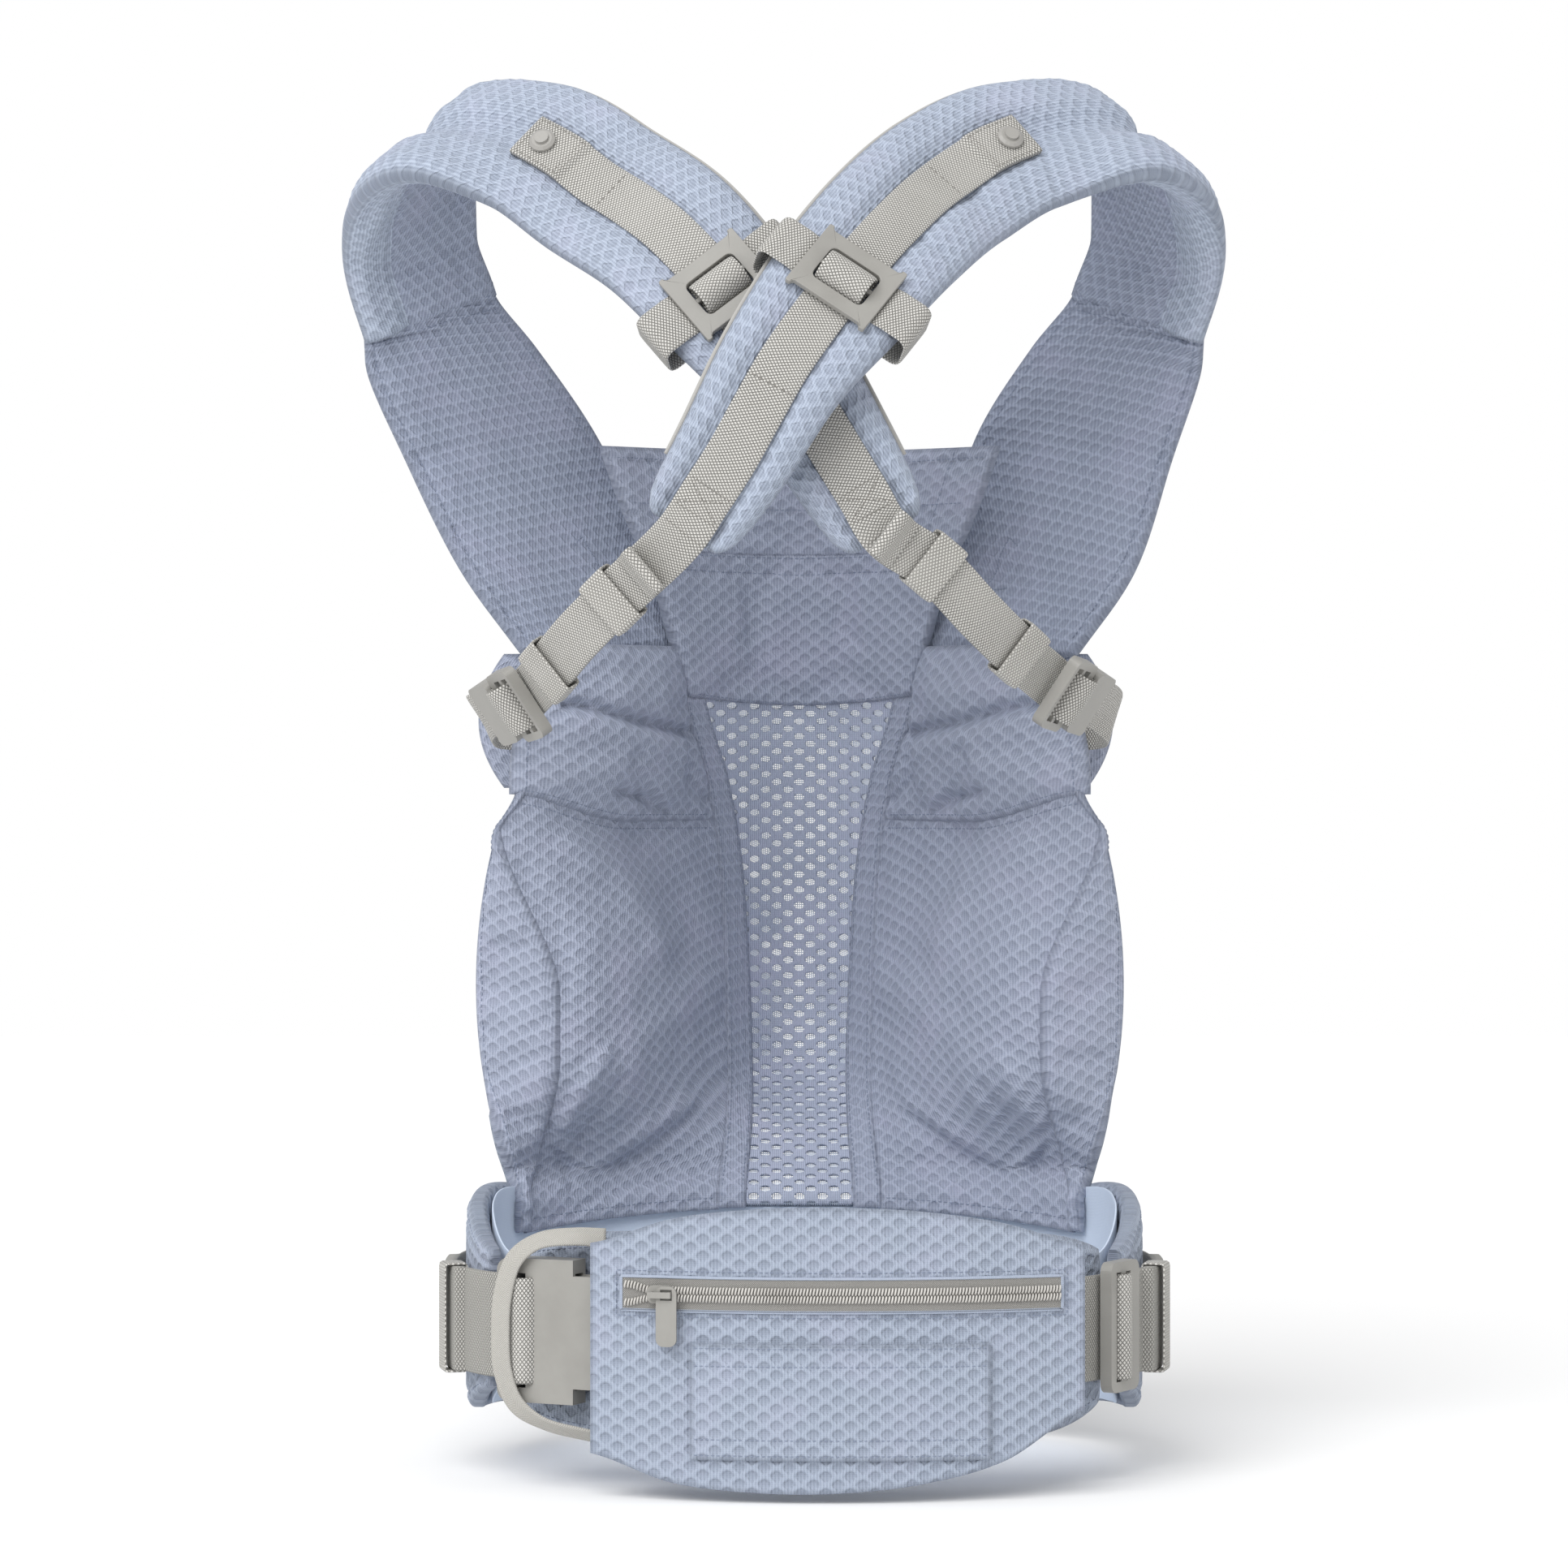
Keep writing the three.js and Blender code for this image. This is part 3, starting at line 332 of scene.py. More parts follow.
class Cloth:
    """The front of a built piece, so that stitches and trims can lie on it."""

    def __init__(self, piece, front, normal, u, v):
        self.piece, self.front, self.normal, self.u, self.v = piece, front, normal, u, v

    def on(self, u, v, lift=0.0):
        x = np.interp(u, self.u, np.arange(len(self.u)))
        y = np.interp(v, self.v, np.arange(len(self.v)))
        i = np.minimum(x.astype(int), len(self.u) - 2)
        j = np.minimum(y.astype(int), len(self.v) - 2)
        place = i, j, (x - i)[:, None], (y - j)[:, None]
        normal = unit(between(self.normal, *place))
        return between(self.front, *place) + normal * lift, normal


def soft(name, surface, material, nodes=(), size=(100, 100), step=2.0, rim=5.0, low=0.6, front=2.0,
         back=2.0, knit=None, wave=0.3, seed=1, carve=None, uv_from=None, body="root", shape=None,
         lining=None, lined=(-1, 1), puff=0.0, follow=0.0):
    """A closed piece of cloth or padding along surface(u, v).

    front and back are its half thickness away from its edges, low at them. knit is (width, height,
    depth, turn, size) of its dimples. carve(u, v, x, y) gives what is added to the front, in mm.
    lining is the material of its back, from lined[0] to lined[1] of its half height. puff is how far,
    in mm, its stuffing may push its faces out. follow is how much its back follows what is carved.
    """
    u = spaced(size[0], step, rim)
    v = spaced(size[1], step, rim)
    uu, vv = np.meshgrid(u, v, indexing="ij")
    base = surface(uu, vv)
    normal = normals_of(base)
    du = np.linalg.norm(np.diff(base, axis=0), axis=2)
    dv = np.linalg.norm(np.diff(base, axis=1), axis=2)
    x = np.vstack([np.zeros((1, len(v))), np.cumsum(du, axis=0)])
    y = np.hstack([np.zeros((len(u), 1)), np.cumsum(dv, axis=1)])
    near_u = np.minimum(x, x[-1:] - x)
    near_v = np.minimum(y, y[:, -1:] - y)
    crown = edge_round(near_u, rim) * edge_round(near_v, rim)
    away = np.minimum(near_u, near_v)
    if shape is not None:
        front_half, back_half = shape(uu, vv, crown)
    else:
        front_half = low + (front - low) * crown
        back_half = low + (back - low) * crown
    fu, fv = (x, y) if uv_from is None else uv_from(uu, vv)
    inside = smooth(1.0, 6.0, away)
    if puff:
        swollen = swell(name, surface, size, front_half.max(), puff)
        front_half = front_half + swollen[0](uu, vv)
        back_half = back_half + swollen[1](uu, vv)
    rise = wave * waves(fu, fv, seed, 34.0) * inside
    fall = wave * waves(fu + 90, fv, seed + 50, 38.0) * inside
    if carve is not None:
        cut = carve(uu, vv, x, y)
        rise = rise + cut
        fall = fall - cut * follow
    if knit is not None:
        pattern = dimples(fu, fv, *knit[:2], *knit[3:]) * knit[2] * smooth(1.5, 4.5, away)
        rise, fall = rise - pattern, fall - pattern
    top = base + normal * (front_half + rise)[..., None]
    bottom = base - normal * (back_half + fall)[..., None]
    # painted shade: low within about 3 mm of the piece's edges, where the knit's colour is darkened along its
    # seams
    shade = np.tile(smooth(0.0, 3.2, away).ravel(), 2)
    piece = closed_skin(name, top, bottom, (fu, fv), material, shade)
    if lining is not None:
        piece.data.materials.append(lining)
        index = np.zeros(len(piece.data.polygons), np.int32)
        middle = (v[:-1] + v[1:] - 1 > lined[0]) & (v[:-1] + v[1:] - 1 < lined[1])
        cells = (len(u) - 1) * (len(v) - 1)
        index[cells:2 * cells] = np.tile(middle, len(u) - 1)
        piece.data.polygons.foreach_set("material_index", index)
    attach(piece, body, nodes)
    return Cloth(piece, top, normals_of(top), u, v)


def selvedges(width, lanes):
    """Places across webbing, closer together at its edges, and how full its thickness is there."""
    across = np.sin(np.linspace(-np.pi / 2, np.pi / 2, lanes + 1)) * width / 2
    return across, np.sqrt(clamp(1 - (np.abs(across) / (width / 2 + 0.02)) ** 8))


def strip(name, route, width, thick, material, nodes=(), step=1.6, lanes=8, raised=None):
    """Flat webbing along a route, with rounded selvedges. raised(distance) lifts its face."""
    total = float(route.length[-1])
    n = max(4, int(total / step))
    t = np.interp(np.linspace(0, total, n + 1), route.length, np.linspace(0, 1, route.COUNT + 1))
    across, inside = selvedges(width, lanes)
    half = thick / 2 * (0.35 + 0.65 * inside)[None, :] + np.zeros((n + 1, 1))
    extra = 0.0 if raised is None else raised(route.distance(t))[:, None]
    grid_t = np.repeat(t[:, None], lanes + 1, 1)
    grid_w = np.repeat(across[None, :], n + 1, 0)
    upper = route.place(grid_t, grid_w, half + extra)
    under = route.place(grid_t, grid_w, -half)
    run = travelled(upper[:, lanes // 2])
    piece = closed_skin(name, upper, under, (grid_w, run[:, None]), material)
    attach(piece, "root", nodes)
    return Cloth(piece, upper, normals_of(upper), np.linspace(0, 1, n + 1), across / width + 0.5)


def tube(name, points, radius, material, sides=8, closed=False):
    """A round cord of cloth or thread along points."""
    p = np.asarray(points, float)
    along = unit(np.gradient(p, axis=0)) if not closed else unit(np.roll(p, -1, 0) - np.roll(p, 1, 0))
    side = np.cross(along, (0, 0, 1.0))
    side = unit(np.where(np.linalg.norm(side, axis=1, keepdims=True) < 0.2, np.cross(along, (0, 1.0, 0)), side))
    other = np.cross(along, side)
    turn = np.linspace(0, 2 * np.pi, sides, endpoint=False)
    ring = side[:, None] * np.cos(turn)[None, :, None] + other[:, None] * np.sin(turn)[None, :, None]
    verts = (p[:, None] + ring * radius).reshape(-1, 3)
    n = len(p)
    faces = []
    for i in range(n if closed else n - 1):
        j = (i + 1) % n
        faces += [(i * sides + k, i * sides + (k + 1) % sides, j * sides + (k + 1) % sides, j * sides + k)
                  for k in range(sides)]
    if not closed:
        faces += [tuple(range(sides))[::-1], tuple(range((n - 1) * sides, n * sides))]
    flat = np.stack([np.tile(turn * radius, n), np.repeat(travelled(p), sides)], -1)
    attach(make_mesh(name, verts, faces, flat, material))


STITCHES = {}


def stitch(group, points, normals, pitch=2.9, length=2.1, thick=0.46):
    """Thread along a seam: small rounded stitches, gathered by group and built at the end."""
    p = np.asarray(points, float)
    far = travelled(p)
    count = int(far[-1] / pitch)
    if count < 1:
        return
    centre = (np.arange(count) + 0.5) * (far[-1] / count)

    def at(d):
        return np.stack([np.interp(d, far, p[:, k]) for k in range(3)], -1)

    out = unit(np.stack([np.interp(centre, far, normals[:, k]) for k in range(3)], -1))
    a, b = at(centre - length / 2), at(centre + length / 2)
    along = unit(b - a)
    side = np.cross(out, along)
    shares = ((0.0, 0.15, -0.3), (0.18, 0.9, 0.05), (0.5, 1.0, 0.2), (0.82, 0.9, 0.05), (1.0, 0.15, -0.3))
    store = STITCHES.setdefault(group, [[], []])
    start = sum(len(x) for x in store[0])
    rings = []
    for share, size, lift in shares:
        c = a + (b - a) * share + out * lift * thick
        for x, y in ((1, 0), (0, 1), (-1, 0), (0, -1)):
            rings.append(c + (side * x * 0.6 + out * y * 0.5) * thick * size)
    verts = np.stack(rings, 1)
    store[0].append(verts.reshape(-1, 3))
    for s in range(count):
        o = start + s * 20
        for r in range(4):
            store[1] += [(o + 4 * r + k, o + 4 * r + (k + 1) % 4, o + 4 * r + 4 + (k + 1) % 4, o + 4 * r + 4 + k)
                         for k in range(4)]
        store[1] += [(o + 3, o + 2, o + 1, o), (o + 16, o + 17, o + 18, o + 19)]


def stitch_on(cloth, group, uv, pitch=2.9, length=2.1, thick=0.46, lift=0.12):
    """Stitches on a piece along a line of (u, v) corners."""
    line = np.asarray(uv, float)
    steps = np.linspace(0, len(line) - 1, 60 * (len(line) - 1) + 1)
    u = np.interp(steps, np.arange(len(line)), line[:, 0])
    v = np.interp(steps, np.arange(len(line)), line[:, 1])
    points, normal = cloth.on(u, v, lift)
    stitch(group, points, normal, pitch, length, thick)


def stitch_rows(cloth, group, rows, inset, **thread):
    """Stitches from one side of a piece to the other, at shares of its height."""
    for v in rows:
        stitch_on(cloth, group, [(inset, v), (1 - inset, v)], **thread)


def stitch_columns(cloth, group, columns, inset, **thread):
    """Stitches from the bottom of a piece to its top, at shares of its width."""
    for u in columns:
        stitch_on(cloth, group, [(u, inset), (u, 1 - inset)], **thread)


# --- materials ----------------------------------------------------------------


class Value:
    """An output of a node, with arithmetic that adds nodes."""

    def __init__(self, nodes, socket):
        self.nodes, self.socket = nodes, socket

    def __add__(self, other):
        return self.nodes.math("ADD", self, other)

    def __sub__(self, other):
        return self.nodes.math("SUBTRACT", self, other)

    def __rsub__(self, other):
        return self.nodes.math("SUBTRACT", other, self)

    def __mul__(self, other):
        return self.nodes.math("MULTIPLY", self, other)

    def __truediv__(self, other):
        return self.nodes.math("DIVIDE", self, other)

    def __pow__(self, other):
        return self.nodes.math("POWER", self, other)

    def __abs__(self):
        return self.nodes.math("ABSOLUTE", self)

    def zigzag(self, top=0.5):
        """Up to top and down to 0 again, over and over."""
        return self.nodes.math("PINGPONG", self, top)


class Nodes:
    """Short names for building a node material."""

    def __init__(self, name):
        self.material = bpy.data.materials.new(name)
        self.material.use_nodes = True
        self.tree = self.material.node_tree
        self.shader = self.tree.nodes["Principled BSDF"]

    def node(self, kind, inputs=(), **settings):
        made = self.tree.nodes.new(kind)
        for key, value in settings.items():
            setattr(made, key, value)
        for socket, value in dict(inputs).items():
            self.link(value, made.inputs[socket])
        return made

    def link(self, source, target):
        if isinstance(source, (int, float)):
            target.default_value = source
        elif isinstance(source, tuple):
            target.default_value = (*source, 1)
        else:
            self.tree.links.new(source.socket, target)

    def math(self, operation, a, b=0.0, c=None, clamped=False):
        inputs = {0: a, 1: b} if c is None else {0: a, 1: b, 2: c}
        node = self.node("ShaderNodeMath", inputs, operation=operation, use_clamp=clamped)
        return Value(self, node.outputs[0])

    def ramp(self, value, low, high, a=0.0, b=1.0):
        inputs = {"Value": value, "From Min": low, "From Max": high, "To Min": a, "To Max": b}
        node = self.node("ShaderNodeMapRange", inputs, interpolation_type="SMOOTHSTEP")
        return Value(self, node.outputs["Result"])

    def uv(self, turn=0.0):
        flat = Value(self, self.node("ShaderNodeUVMap").outputs[0])
        turned = self.node("ShaderNodeVectorRotate", {"Vector": flat, "Angle": turn}, rotation_type="Z_AXIS")
        split = self.node("ShaderNodeSeparateXYZ", {0: Value(self, turned.outputs[0])})
        return Value(self, split.outputs[0]), Value(self, split.outputs[1])

    def noise(self, scale, detail=3.0, rough=0.6):
        place = Value(self, self.node("ShaderNodeTexCoord").outputs["Object"])
        inputs = {"Vector": place, "Scale": scale, "Detail": detail, "Roughness": rough}
        return Value(self, self.node("ShaderNodeTexNoise", inputs).outputs["Fac"])

    def colour(self, factor, a, b):
        made = self.node("ShaderNodeMix", {"Factor": factor}, data_type="RGBA")
        ends = [s for s in made.inputs if s.type == "RGBA"]
        self.link(a, ends[0])
        self.link(b, ends[1])
        return Value(self, [s for s in made.outputs if s.type == "RGBA"][0])

    def finish(self, colour, height=None, depth=0.0003, roughness=0.8, sheen=0.0, tint=(1, 1, 1), specular=0.3):
        values = {"Base Color": colour, "Roughness": roughness, "Specular IOR Level": specular}
        if sheen:
            values.update({"Sheen Weight": sheen, "Sheen Roughness": 0.45, "Sheen Tint": tint})
        if height is not None:
            bump = self.node("ShaderNodeBump", {"Strength": 1.0, "Distance": depth, "Height": height})
            values["Normal"] = Value(self, bump.outputs[0])
        for socket, value in values.items():
            self.link(value, self.shader.inputs[socket])
        return self.material


def times(colour, share):
    return tuple(c * share for c in colour)


def knit(name, light, dark, pattern=None, depth=0.5, ribs=1.5, rib_mark=0.55):
    """Knitted spacer fabric: fine ribs of loops, and dimples in staggered rows, with painted shade in the
    dimples and at seams and edges, and a painted highlight round the dimples.
    """
    n = Nodes(name)
    width, height, _, turn, grow = pattern if pattern else (11.0, 8.0, 0.0, 0.0, 1.0)
    u, v = n.uv(turn)
    rib = (u / (ribs * MM)).zigzag() * 2.0
    loop = (v / (0.95 * MM)).zigzag() * 2.0
    dot = (1.0 - rib) * loop
    strand = rib * rib_mark + n.noise(420.0) * (1.05 - rib_mark)
    height_map = rib * 0.5 - dot * 0.35
    base = n.colour(n.math("SUBTRACT", strand, dot * 0.55, clamped=True), dark, light)
    if pattern:
        a, b = u / (width * MM), v / (height * MM)
        p, q = a + b, a - b
        p, q = p - n.math("ROUND", p), q - n.math("ROUND", q)
        a, b = (p + q) * 0.5, (p - q) * 0.5
        wide = n.math("MULTIPLY_ADD", b, 0.25 * grow, 0.2 * grow)
        far = (abs(a) / wide) ** 1.3 + (abs(b) / (0.27 * grow)) ** 1.3
        pit = n.ramp(far, 0.6, 1.3, 1.0, 0.0)
        # painted shade in the dimples, darker at their top as a painted shadow under the upper lip
        base = n.colour(pit * n.ramp(b, -0.25, 0.22, depth * 0.45, depth), base, times(dark, 0.72))
        # painted highlight: a lighter ring on each dimple's rim
        lip = n.ramp(far, 1.2, 1.7) * n.ramp(far, 2.6, 1.8)
        base = n.colour(lip * 0.22, base, light)
        height_map = height_map - pit * 1.4
    warm = tuple(c * k for c, k in zip(light, (1.02, 0.93, 1.0)))
    base = n.colour(n.ramp(n.noise(26.0, 4.0), 0.45, 0.75, 0.0, 0.3), base, warm)
    # painted shade: the colour darkens towards each piece's seams and edges, where the seam attribute falls to 0
    seam = Value(n, n.node("ShaderNodeAttribute", attribute_name="seam").outputs["Fac"])
    base = n.colour(n.ramp(seam, 0.0, 1.0, 0.42, 0.0), base, times(dark, 0.45))
    return n.finish(base, height_map, 0.0004, 0.88, 0.22, (0.85, 0.9, 1.0), 0.2)


def woven(name, light, dark, cell=(2.1, 1.25), radius=0.33):
    """Webbing: small raised floats in staggered rows between darker picks."""
    n = Nodes(name)
    u, v = n.uv()
    a, b = u / (cell[0] * MM), v / (cell[1] * MM)
    far = n.math("MAXIMUM", (a + b).zigzag(), (a - b).zigzag())
    raised = n.ramp(far, radius - 0.08, radius + 0.12, 1.0, 0.0)
    fuzz = n.noise(600.0, 2.0)
    base = n.colour(fuzz * 0.25, n.colour(raised, dark, light), dark)
    base = n.colour(n.ramp(n.noise(18.0), 0.4, 0.75, 0.0, 0.25), base, times(light, 0.88))
    return n.finish(base, raised + fuzz * 0.3, 0.0004, 0.7, 0.1, (1, 1, 0.95), 0.3)


def herringbone(name, light, dark, pitch=1.1, rib=3.2):
    """Knitted elastic: slanted ribs that turn back at each wale."""
    n = Nodes(name)
    u, v = n.uv()
    wale = ((v + u.zigzag(rib * MM)) / (pitch * MM)).zigzag() * 2.0
    shade = wale * 0.75 + n.noise(500.0, 2.0) * 0.25
    return n.finish(n.colour(shade, dark, light), shade, 0.0002, 0.8, 0.1, (1, 1, 0.95), 0.25)


def smooth_cloth(name, light, dark, grain=1100.0):
    """Plain woven cloth with a very fine grain."""
    n = Nodes(name)
    u, v = n.uv()
    weave = (u / (0.55 * MM)).zigzag() + (v / (0.55 * MM)).zigzag()
    base = n.colour(weave * 0.8, dark, light)
    base = n.colour(n.ramp(n.noise(22.0), 0.4, 0.75, 0.0, 0.3), base, dark)
    return n.finish(base, weave + n.noise(grain, 2.0), 0.00008, 0.72, 0.2, (0.9, 0.95, 1.0), 0.3)


def plastic(name, light, dark, roughness=0.42):
    """Moulded plastic: faint flow marks, fine spark texture and soft sheen."""
    n = Nodes(name)
    flow = n.noise(38.0, 4.0, 0.55)
    spark = n.noise(1500.0, 2.0)
    rough = n.ramp(flow * 0.6 + spark * 0.4, 0.3, 0.7, roughness - 0.05, roughness + 0.08)
    return n.finish(n.colour(n.ramp(flow, 0.3, 0.7), dark, light), spark, 0.00003, rough, specular=0.45)


def scrim(name, light, dark, pitch=1.1, share=0.3):
    """Fine net of thin threads, clear between them."""
    n = Nodes(name)
    u, v = n.uv()
    near = n.math("MINIMUM", (u / (pitch * MM)).zigzag(), (v / (pitch * MM)).zigzag())
    threads = n.ramp(near, share * 0.5 - 0.03, share * 0.5 + 0.03, 1.0, 0.0)
    n.link(threads, n.shader.inputs["Alpha"])
    return n.finish(n.colour(n.noise(300.0), dark, light), threads, 0.0001)


def thread(name, light, dark):
    n = Nodes(name)
    twist = n.noise(2200.0, 2.0)
    return n.finish(n.colour(twist, dark, light), twist, 0.00006, 0.75)


# A knit: its dimples' width, height, depth and turn, and how large they are in their rows.
LIGHT = (0.47, 0.53, 0.635)
DARK = (0.32, 0.365, 0.46)
# The next four colours are darker copies of LIGHT and DARK for the faces turned to the carrier's inside: painted
# shade of its inside.
SHADE_LIGHT = (0.46, 0.50, 0.615)
SHADE_DARK = (0.30, 0.335, 0.435)
WING_SHADE_LIGHT = (0.41, 0.455, 0.57)
WING_SHADE_DARK = (0.27, 0.305, 0.40)
POUCH_KNIT = (11.4, 7.8, 0.55, 0.0, 1.25)
PANEL_KNIT = (11.4, 7.6, 0.55, 0.0, 1.35)
WING_KNIT = {side: (10.8, 7.6, 0.55, math.radians(-26 * side), 1.35) for _, side in PAIRS}
STRAP_KNIT = (10.4, 7.4, 0.45, math.radians(90), 1.25)
M_POUCH = knit("pouch_knit", times(LIGHT, 0.94), times(DARK, 0.94), POUCH_KNIT)
M_STRAP = knit("strap_knit", times(LIGHT, 1.1), DARK, STRAP_KNIT, 0.42)
M_STRAP_INNER = knit("strap_inner_knit", WING_SHADE_LIGHT, WING_SHADE_DARK, (10.4, 7.4, 0.45, math.radians(64), 1.3))
M_PANEL = knit("panel_knit", SHADE_LIGHT, SHADE_DARK, PANEL_KNIT)
M_WING = {side: knit(f"wing_knit_{name}", WING_SHADE_LIGHT, WING_SHADE_DARK, WING_KNIT[side]) for name, side in PAIRS}
M_PLAIN = knit("plain_knit", SHADE_LIGHT, SHADE_DARK, PANEL_KNIT, 0.4, 1.5, 0.4)
M_PLAIN_LIGHT = knit("plain_knit_light", LIGHT, DARK)
M_MESH = knit("open_mesh_knit", times(SHADE_LIGHT, 1.15), times(SHADE_DARK, 1.1), ribs=1.1)
M_LINING = smooth_cloth("lining_cloth", (0.66, 0.75, 0.88), (0.54, 0.62, 0.75))
M_WEBBING = woven("webbing_weave", (0.70, 0.685, 0.65), (0.19, 0.185, 0.17), (2.4, 1.7), 0.36)
M_WAIST = woven("waist_webbing_weave", (0.50, 0.49, 0.46), (0.21, 0.205, 0.19), (2.4, 1.7), 0.36)
M_TAPE = woven("zip_tape_weave", (0.42, 0.41, 0.39), (0.28, 0.27, 0.255), (1.0, 1.0), 0.3)
M_ELASTIC = herringbone("elastic_rib", (0.58, 0.565, 0.53), (0.29, 0.28, 0.255))
M_KEEPER = woven("keeper_weave", (0.78, 0.765, 0.725), (0.28, 0.27, 0.25), (1.9, 2.6), 0.3)
M_PLASTIC = plastic("satin_plastic", (0.33, 0.322, 0.30), (0.29, 0.282, 0.262))
M_SNAP = plastic("snap_plastic", (0.36, 0.35, 0.33), (0.33, 0.32, 0.30), 0.36)
M_COIL = plastic("zip_coil_nylon", (0.62, 0.60, 0.565), (0.50, 0.48, 0.45), 0.35)
M_SCRIM = scrim("backing_net", (0.72, 0.79, 0.90), (0.58, 0.65, 0.77), 1.1, 0.34)
M_PIPING = smooth_cloth("piping_cloth", (0.50, 0.49, 0.465), (0.40, 0.39, 0.37), 700.0)
M_THREAD = thread("blue_thread", (0.30, 0.345, 0.45), (0.19, 0.22, 0.30))
M_THREAD_GREY = thread("grey_thread", (0.34, 0.325, 0.30), (0.2, 0.19, 0.175))

# --- the ring of the waist ----------------------------------------------------


WAIST = {"middle": 2, "half_width": 160, "half_depth": 106, "power": 2.6}


def waist_point(degrees, out, z):
    angle = np.radians(degrees)
    power = 2 / WAIST["power"]
    c, s = np.cos(angle), np.sin(angle)
    x = WAIST["middle"] + (WAIST["half_width"] + out) * np.sign(c) * np.abs(c) ** power
    y = (WAIST["half_depth"] + out) * np.sign(s) * np.abs(s) ** power
    return np.stack(np.broadcast_arrays(x, y, z), -1)


def ring_depth(x):
    share = np.minimum(np.abs(x - WAIST["middle"]) / WAIST["half_width"], 0.985)
    return WAIST["half_depth"] * (1 - share ** WAIST["power"]) ** (1 / WAIST["power"])


BELT_TOP = (43, 44, 49, 58, 54, 34)
BELT_BOTTOM = (-58, -57, -55, -52, -48, -32)


def even_angles(low, high, out):
    """Angles spaced so that equal steps of u are equal steps round the ring."""
    a = np.linspace(low, high, 721)
    far = travelled(waist_point(a, out, 0.0))
    return far[-1], lambda u: np.interp(np.asarray(u) * far[-1], far, a)


def belt_surface(out, inset):
    length, angle = even_angles(-25, 205, out)

    def surface(u, v):
        degrees = angle(u)
        far = np.abs(degrees - 90) / 115
        low = through(BELT_BOTTOM, far) + inset
        high = through(BELT_TOP, far) - inset
        return waist_point(degrees, out, mix(low, high, v))

    return length, surface


def make_belt():
    length, surface = belt_surface(0.0, 0.0)
    seam = lambda u, v, x, y: -1.4 * ridge(y - 7.5, 1.2) - 1.4 * ridge(y[:, -1:] - y - 7.5, 1.2)
    belt = soft("belt", surface, M_POUCH, ["hip_belt"], (length, 104), 2.2, 9.0, 1.6, 6.0, 5.6, POUCH_KNIT,
                0.35, 3, seam)
    stitch_rows(belt, "root_blue", (0.045, 0.955), 0.004)
    length, surface = belt_surface(-7.0, 2.0)
    lining = soft("belt_lining_cloth", surface, M_LINING, ["belt_lining"], (length, 100), 2.6, 3.0, 0.35, 0.55,
                  0.55, None, 0.12, 4)
    length, angle = even_angles(-147, -33, 0.0)

    def lumbar(u, v):
        ends = 1 - np.abs(2 * u - 1) ** 6
        return waist_point(angle(u), 0.0, mix(-54 * mix(0.7, 1, ends), 47 * mix(0.75, 1, ends), v))

    pad = soft("lumbar_cushion", lumbar, M_POUCH, ["lumbar_pad"], (length, 100), 2.2, 8.0, 1.2, 4.6, 4.6,
               POUCH_KNIT, 0.35, 5)
    stitch_rows(pad, "root_blue", (0.07, 0.93), 0.02)


# --- the panel ----------------------------------------------------------------


def crease_half(z):
    return 121 + 30 * smooth(150, 240, z) + 16 * (1 - smooth(50, 120, z))


def outline_half(z):
    return 142 + 21 * np.sin(np.pi * clamp((z - 50) / 212)) ** 0.8


def bowl_depth(x, z):
    share = clamp((z - 30) / 420)
    middle = 102 + 80 * np.sin(np.pi * share**0.72)
    crease = crease_half(z)
    side = np.minimum(np.abs(x) / crease, 1)
    past = np.maximum(np.abs(x) - crease, 0) / 40
    bowl = mix(45, middle, np.cos(side * np.pi / 2) ** 2) + 14 * past
    return mix(ring_depth(x), bowl, smooth(45, 115, z))


MESH_LOW, MESH_HIGH = 46, 299


def mesh_half(v):
    return through((28, 25, 26, 28, 31, 38, 50), v)


def binding_half(v):
    return mesh_half(v) + 14 * mix(1, 0.75, v)


def binding_half_at(z):
    return binding_half((z - MESH_LOW) / (MESH_HIGH - MESH_LOW))


def flap_half(z):
    return mix(59, 78, (z - 301) / 77)


def waist_seam(x):
    return 240 + 14 * smooth(90, 146, np.abs(x))


def panel_depth(x, z):
    """The bowl's depth, with its bottom hem brought in front of the belt's lining."""
    apron = 1 - smooth(46, 66, z)
    return bowl_depth(x, z) - 11 * apron * (1 + 0.75 * np.minimum(np.abs(x) / 140, 1) ** 3)


def panel_surface(left, right, low, high):
    """The part of the panel between two edges over v, and between two heights over x."""

    def surface(u, v):
        x = mix(left(v), right(v), u)
        z = mix(low(x), high(x), v)
        return np.stack([x, panel_depth(x, z), z], -1)

    return surface


def middle_surface(half, low, high):
    return panel_surface(lambda v: -half(v), half, low, high)


def side_surface(side, near, far, low, high):
    """The part of the panel on one side, from near its middle to far from it."""
    inner, outer = (lambda v: side * near(v)), (lambda v: side * far(v))
    return panel_surface(*((outer, inner) if side < 0 else (inner, outer)), low, high)


def panel_uv(surface):
    """Flat places on the panel's cloth: lengths along it from the middle line and from the bottom."""

    def places(u, v):
        p = surface(u, v)
        du = np.hypot(np.diff(p[..., 0], axis=0), np.diff(p[..., 1], axis=0))
        fu = p[:1, :, 0] * 1.12 + np.vstack([np.zeros((1, p.shape[1])), np.cumsum(du, axis=0)])
        dv = np.hypot(np.diff(p[..., 2], axis=1), np.diff(p[..., 1], axis=1))
        fv = p[:, :1, 2] + np.hstack([np.zeros((p.shape[0], 1)), np.cumsum(dv, axis=1)])
        return fu, fv

    return places


def level(z):
    return lambda x: z + 0 * x


